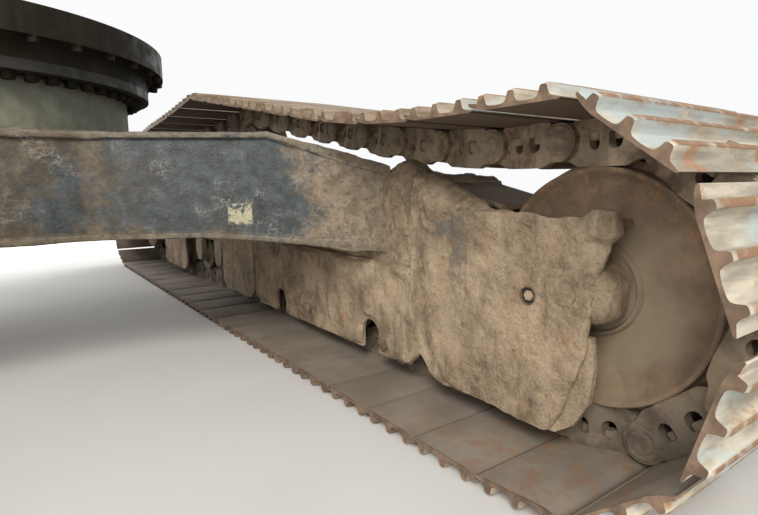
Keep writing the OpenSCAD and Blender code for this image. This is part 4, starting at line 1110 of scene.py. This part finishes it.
    def frame_skin(self, b):
        """Skin round a side frame's section, from the inner wall's foot over the shoulders to the outer foot,
        lower towards both ends of the frame."""
        rear, front = SPROCKET[0] + 0.420, IDLER_X - 0.450
        foot, top, wall = 0.3083, 0.622, FRAME_WALL
        path = np.array([[-0.128, foot], [-wall, foot], [-wall, top - 0.045], [-0.125, top], [0.125, top],
                         [wall, top - 0.045], [wall, foot], [0.128, foot]])
        seg = along(path)
        s = np.unique(np.r_[np.linspace(0, seg[-1], 80), seg])
        py, pz = np.interp(s, seg, path[:, 0]), np.interp(s, seg, path[:, 1])
        ty, tz = unit(np.stack([np.gradient(py), np.gradient(pz)], -1)).T
        x = np.linspace(rear + 0.005, front - 0.005, 240)[:, None]
        ceiling = (top - np.interp(x, [front - 0.150, front], [0.0, 0.020])
                   - np.interp(x, [rear, rear + 0.200], [0.060, 0.0]))
        z = pz - 0.98 * np.maximum(pz - ceiling, 0)
        face = xyz(x, py, z)
        thick = b.crust * (0.55 + 0.9 * smooth((z - 0.45) / 0.15))
        h = thick * lumps(face, 0.30, 0.085, 9.0) + 0.001
        h = np.where(s * (seg[-1] - s) < 0.015 * seg[-1], np.minimum(h, 0.003), h)
        h[[0, -1]] = -0.002
        return face + xyz(0, -tz, ty) * h[..., None], [quads(*z.shape)]

    def build(self, scene):
        b = scene.body_settings
        mud = "muddy_paint", 60
        pts, faces, marks = self.guard(b)
        put_pair("guard_mud_in_", pts, faces, *mud, values=marks)
        put_pair("guard_mud_out_", pts * [1, -1, 1], faces, *mud, back=True)
        put_pair("leg_end_mud_", *self.mound(), *mud, back=True)
        skin, faces, marks = self.roller_skin()
        put_pair("roller_guard_mud_", on_track(skin), faces, *mud, back=True, values=marks)
        nose, faces = self.yoke_nose()
        for name, out in (("in", 1), ("out", -1)):
            end = nose * [1, out, 1] + [IDLER_X, 0, IDLER_Z]
            put_pair("yoke_mud_%s_" % name, end, faces, *mud, back=out > 0)
        put_pair("frame_mud_", *self.frame_skin(b), *mud, back=True)


class UNDERCARRIAGE_OT_ring(Builder):
    """Bolt rows of the slewing ring, its seal lip and the weld of the tub"""
    bl_idname = "undercarriage.ring"
    bl_label = "Slewing ring bolts"

    def row(self, count, radius, z, head):
        """Heads that hang down, evenly spaced round the Z axis."""
        v, f = hung(*head)
        a = angles(count)[:, None]
        out = v[:, 0] + radius
        x, y = out * np.cos(a) - v[:, 1] * np.sin(a), out * np.sin(a) + v[:, 1] * np.cos(a)
        return xyz(x, y, v[:, 2] + z), repeat(len(v), f, count)

    def build(self, scene):
        flange, tub = 0.030, 0.5825
        under = self.row(64, 0.6093, FLANGE_TOP - flange, bolt(0.0195, 0.022, 0.0245))
        put("flange_bolts", *under, LOWER, "race_steel", 30)
        outer = self.row(36, 0.6995, RING_LOW, bolt(0.0160, 0.018, 0.0190))
        put("ring_bolts", *outer, UPPER, "race_steel", 30)
        # seal lip between the races, on the outer race
        lip = np.array([[0.6640, 0], [0.6720, 0], [0.6720, -0.004], [0.6650, -0.006]]) + [0, RING_LOW]
        put("ring_seal", *turned(lip, 144, "z", True), UPPER, "race_steel", 40, back=True)
        a = np.linspace(0, 2 * math.pi, 600)
        # weld beads at the tub's foot and under its flange
        beads = [tube(xyz(tub * np.cos(a), tub * np.sin(a), z), radius, 0.15 * np.sin(a * 120))
                 for z, radius in ((TUB_LOW + 0.004, 0.006), (FLANGE_TOP - flange - 0.0025, 0.005))]
        v, f, _ = join(*beads)
        put("tub_welds", v, f, LOWER, "tub_paint", 50)


class UNDERCARRIAGE_OT_fasteners(Builder):
    """Bolt heads of the drives, motors, carrier rollers, roller guards and belly cover, and guard plugs"""
    bl_idname = "undercarriage.fasteners"
    bl_label = "Fasteners"

    def circle(self, count, radius, x, y, z):
        """Places round an axis along y, the first one half a step past the X axis."""
        a = angles(count, 0.5)
        return xyz(x + radius * np.cos(a), y, z + radius * np.sin(a))

    def build(self, scene):
        t = scene.track_settings
        middle = track_middle()
        sx, sz, ix = SPROCKET[0] - middle, SPROCKET[2], IDLER_X - middle
        drive = float(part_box("final_drive_left")[1][1]) - TRACK_Y
        motor = float(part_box("travel_motor_left")[0][1]) - TRACK_Y
        cap = float(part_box("carrier_rollers_left")[1][1]) - TRACK_Y
        # sprocket, final drive and travel motor: number of heads and radius of their circle, the face they
        # sit on and the way it looks, radius and height of a head
        shapes = [studs(self.circle(count, around, sx, face, sz), "y", way, radius, height)
                  for count, around, face, way, radius, height in (
                      (20, 0.2000, 0.029, 1, 0.0120, 0.0100), (8, 0.1120, drive, 1, 0.0100, 0.0080),
                      (6, 0.0640, motor, -1, 0.0090, 0.0080))]
        # a carrier roller's axle is the rail and the roller's radius below the lowest link line over it
        roller = 0.0703
        pins, _ = pin_loop(t)
        d = np.roll(pins, -1, axis=0) - pins
        slope = d[:, 1] / np.where(np.abs(d[:, 0]) < 1e-6, 1e-6, d[:, 0])
        for x in (t.carrier_front, t.carrier_rear):
            near = (pins[:, 1] > sz) & (np.abs(pins[:, 0] + d[:, 0] / 2 - x) < 1.5 * t.pitch)
            axle = pins[:, 1] + (x - pins[:, 0]) * slope - (t.rail + roller) * np.sqrt(1 + slope ** 2)
            places = self.circle(3, 0.0230, x, cap, axle[near].min())
            shapes.append(studs(places, "y", 1, 0.0060, 0.0050))
        places = xyz(np.linspace(ix - 1.545, ix - 0.545, 6), 0.1620, 0.300)
        shapes.append(studs(places, "y", 1, 0.0130, 0.0150))
        v, f, _ = join(*shapes)
        plugs = [studs([[IDLER_X + PLUG_X - 0.0025, out * 0.169, IDLER_Z + PLUG_Z]], "y", out, 0.0122, 0.0085)
                 for out in (-1, 1)]
        plug, plug_faces, _ = join(*plugs)
        put_pair("guard_plugs_", plug, plug_faces, "roller_steel", 30, slot="worn_steel")
        put_pair("track_bolts_", on_track(v), f, "worn_steel", 30)
        places = self.circle(12, 0.245, 0, 0, 0)[:, [0, 2, 1]] + [0, 0, BELLY_LOW]
        put("belly_bolts", *studs(places, "z", -1, 0.0110, 0.0090), LOWER, "worn_steel", 30)


class UNDERCARRIAGE_OT_stage(Builder):
    """Pale floor, sky, lamps and the camera at the photograph's viewing angle"""
    bl_idname = "undercarriage.stage"
    bl_label = "Stage"

    def build(self, scene):
        st = scene.stage_settings
        self.floor(scene, st)
        self.sky(scene, st)
        for name, place, aim, size, share, tint in (
                ("key", (6.4, -4.4, 5.9), (1.6, 0.9, 0.5), 3.6, 1.0, (1.0, 0.955, 0.88)),
                ("fill", (4.8, -5.7, 1.8), (1.2, 0.9, 0.4), 2.6, 0.16, (1.0, 0.97, 0.93)),
                ("low", (-5.6, -0.6, 1.7), (-0.8, 0.9, 0.1), 2.4, 0.22, (1.0, 0.98, 0.95)),
                ("back", (-5.6, 6.4, 4.8), (0, 0.6, 0.5), 4.0, 0.35, (0.95, 0.98, 1.0))):
            lamp = bpy.data.lights.new(name, "AREA")
            lamp.energy, lamp.size, lamp.color = st.key * share, size, tint
            obj = bpy.data.objects.new(name, lamp)
            scene.collection.objects.link(obj)
            obj.location = place
            obj.rotation_mode = "QUATERNION"
            obj.rotation_quaternion = Vector(np.subtract(place, aim)).to_track_quat("Z", "Y")
        self.camera(scene, st)
        scene.view_settings.view_transform = "Standard"

    def floor(self, scene, st):
        """A level sheet just under the shoes' lugs."""
        n, reach = 24, 14
        x, y = np.meshgrid(np.linspace(-reach, reach, n), np.linspace(-reach, reach, n))
        mesh = bpy.data.meshes.new("floor")
        mesh.from_pydata(xyz(x, y, -0.0005).reshape(-1, 3).tolist(), [], quads(n, n).tolist())
        floor = bpy.data.objects.new("floor", mesh)
        scene.collection.objects.link(floor)
        plain_finish("stage_floor", st.floor)
        mesh.materials.append(need("stage_floor"))

    def sky(self, scene, st):
        """Even light; the camera, mirrors and glass see a brighter white."""
        world = bpy.data.worlds.get("sky") or bpy.data.worlds.new("sky")
        scene.world = world
        world.use_nodes = True
        tree = world.node_tree
        tree.nodes.clear()
        out, soft, white, mix, path = (tree.nodes.new("ShaderNode" + kind) for kind in (
            "OutputWorld", "Background", "Background", "MixShader", "LightPath"))
        soft.inputs[0].default_value, soft.inputs[1].default_value = (0.93, 0.96, 1.0, 1), st.sky
        white.inputs[0].default_value, white.inputs[1].default_value = (0.96, 0.965, 0.97, 1), 1.0
        seen = path.outputs["Is Camera Ray"]
        for ray in ("Is Glossy Ray", "Is Transmission Ray"):
            either = tree.nodes.new("ShaderNodeMath")
            either.operation = "MAXIMUM"
            tree.links.new(seen, either.inputs[0])
            tree.links.new(path.outputs[ray], either.inputs[1])
            seen = either.outputs[0]
        for socket, output in zip(mix.inputs, (seen, soft.outputs[0], white.outputs[0])):
            tree.links.new(output, socket)
        tree.links.new(mix.outputs[0], out.inputs[0])

    def camera(self, scene, st):
        """The photograph's camera, whose direction and place were solved from the photo's perspective."""
        cam = bpy.data.cameras.new("view")
        cam.sensor_width, cam.lens = 36.0, st.lens / MM
        cam.clip_start, cam.clip_end = 0.02, 60
        obj = bpy.data.objects.new("view", cam)
        scene.collection.objects.link(obj)
        yaw, pitch, roll = (math.radians(a) for a in (35.4913, 8.0464, -0.6888))
        look = np.array([-math.cos(yaw) * math.cos(pitch), math.sin(yaw) * math.cos(pitch), -math.sin(pitch)])
        right = unit(np.cross(look, [0, 0, 1]))
        up = np.cross(right, look)
        place = [IDLER_X + 0.6086, 0.1286, IDLER_Z + 0.21805]
        columns = np.stack([math.cos(roll) * right + math.sin(roll) * up,
                            math.cos(roll) * up - math.sin(roll) * right, -look, place], 1)
        obj.matrix_world = Matrix([*columns.tolist(), [0, 0, 0, 1]])
        scene.camera = obj


GROUPS = {"track_settings": TrackSettings, "body_settings": BodySettings, "stage_settings": StageSettings}
STEPS = (UNDERCARRIAGE_OT_finishes, UNDERCARRIAGE_OT_shoes, UNDERCARRIAGE_OT_links, UNDERCARRIAGE_OT_idlers,
         UNDERCARRIAGE_OT_legs, UNDERCARRIAGE_OT_crust, UNDERCARRIAGE_OT_ring, UNDERCARRIAGE_OT_fasteners,
         UNDERCARRIAGE_OT_stage)


class VIEW3D_PT_undercarriage(bpy.types.Panel):
    """Lists the steps that dress the undercarriage"""
    bl_label = "Undercarriage"
    bl_space_type = "VIEW_3D"
    bl_region_type = "UI"
    bl_category = "Undercarriage"

    def draw(self, context):
        col = self.layout.column()
        for op in STEPS:
            col.operator(op.bl_idname)
        for key, group in GROUPS.items():
            box = self.layout.box()
            for setting in group.__annotations__:
                box.prop(getattr(context.scene, key), setting)


CLASSES = (*GROUPS.values(), *STEPS, VIEW3D_PT_undercarriage)


def register():
    for c in CLASSES:
        bpy.utils.register_class(c)
    bpy.types.Scene.track_settings = PointerProperty(type=TrackSettings)
    bpy.types.Scene.body_settings = PointerProperty(type=BodySettings)
    bpy.types.Scene.stage_settings = PointerProperty(type=StageSettings)


def unregister():
    for key in GROUPS:
        delattr(bpy.types.Scene, key)
    for c in reversed(CLASSES):
        bpy.utils.unregister_class(c)


def main():
    register()
    for step in STEPS:
        getattr(bpy.ops.undercarriage, step.bl_idname.split(".")[1])()


if __name__ == "__main__":
    main()
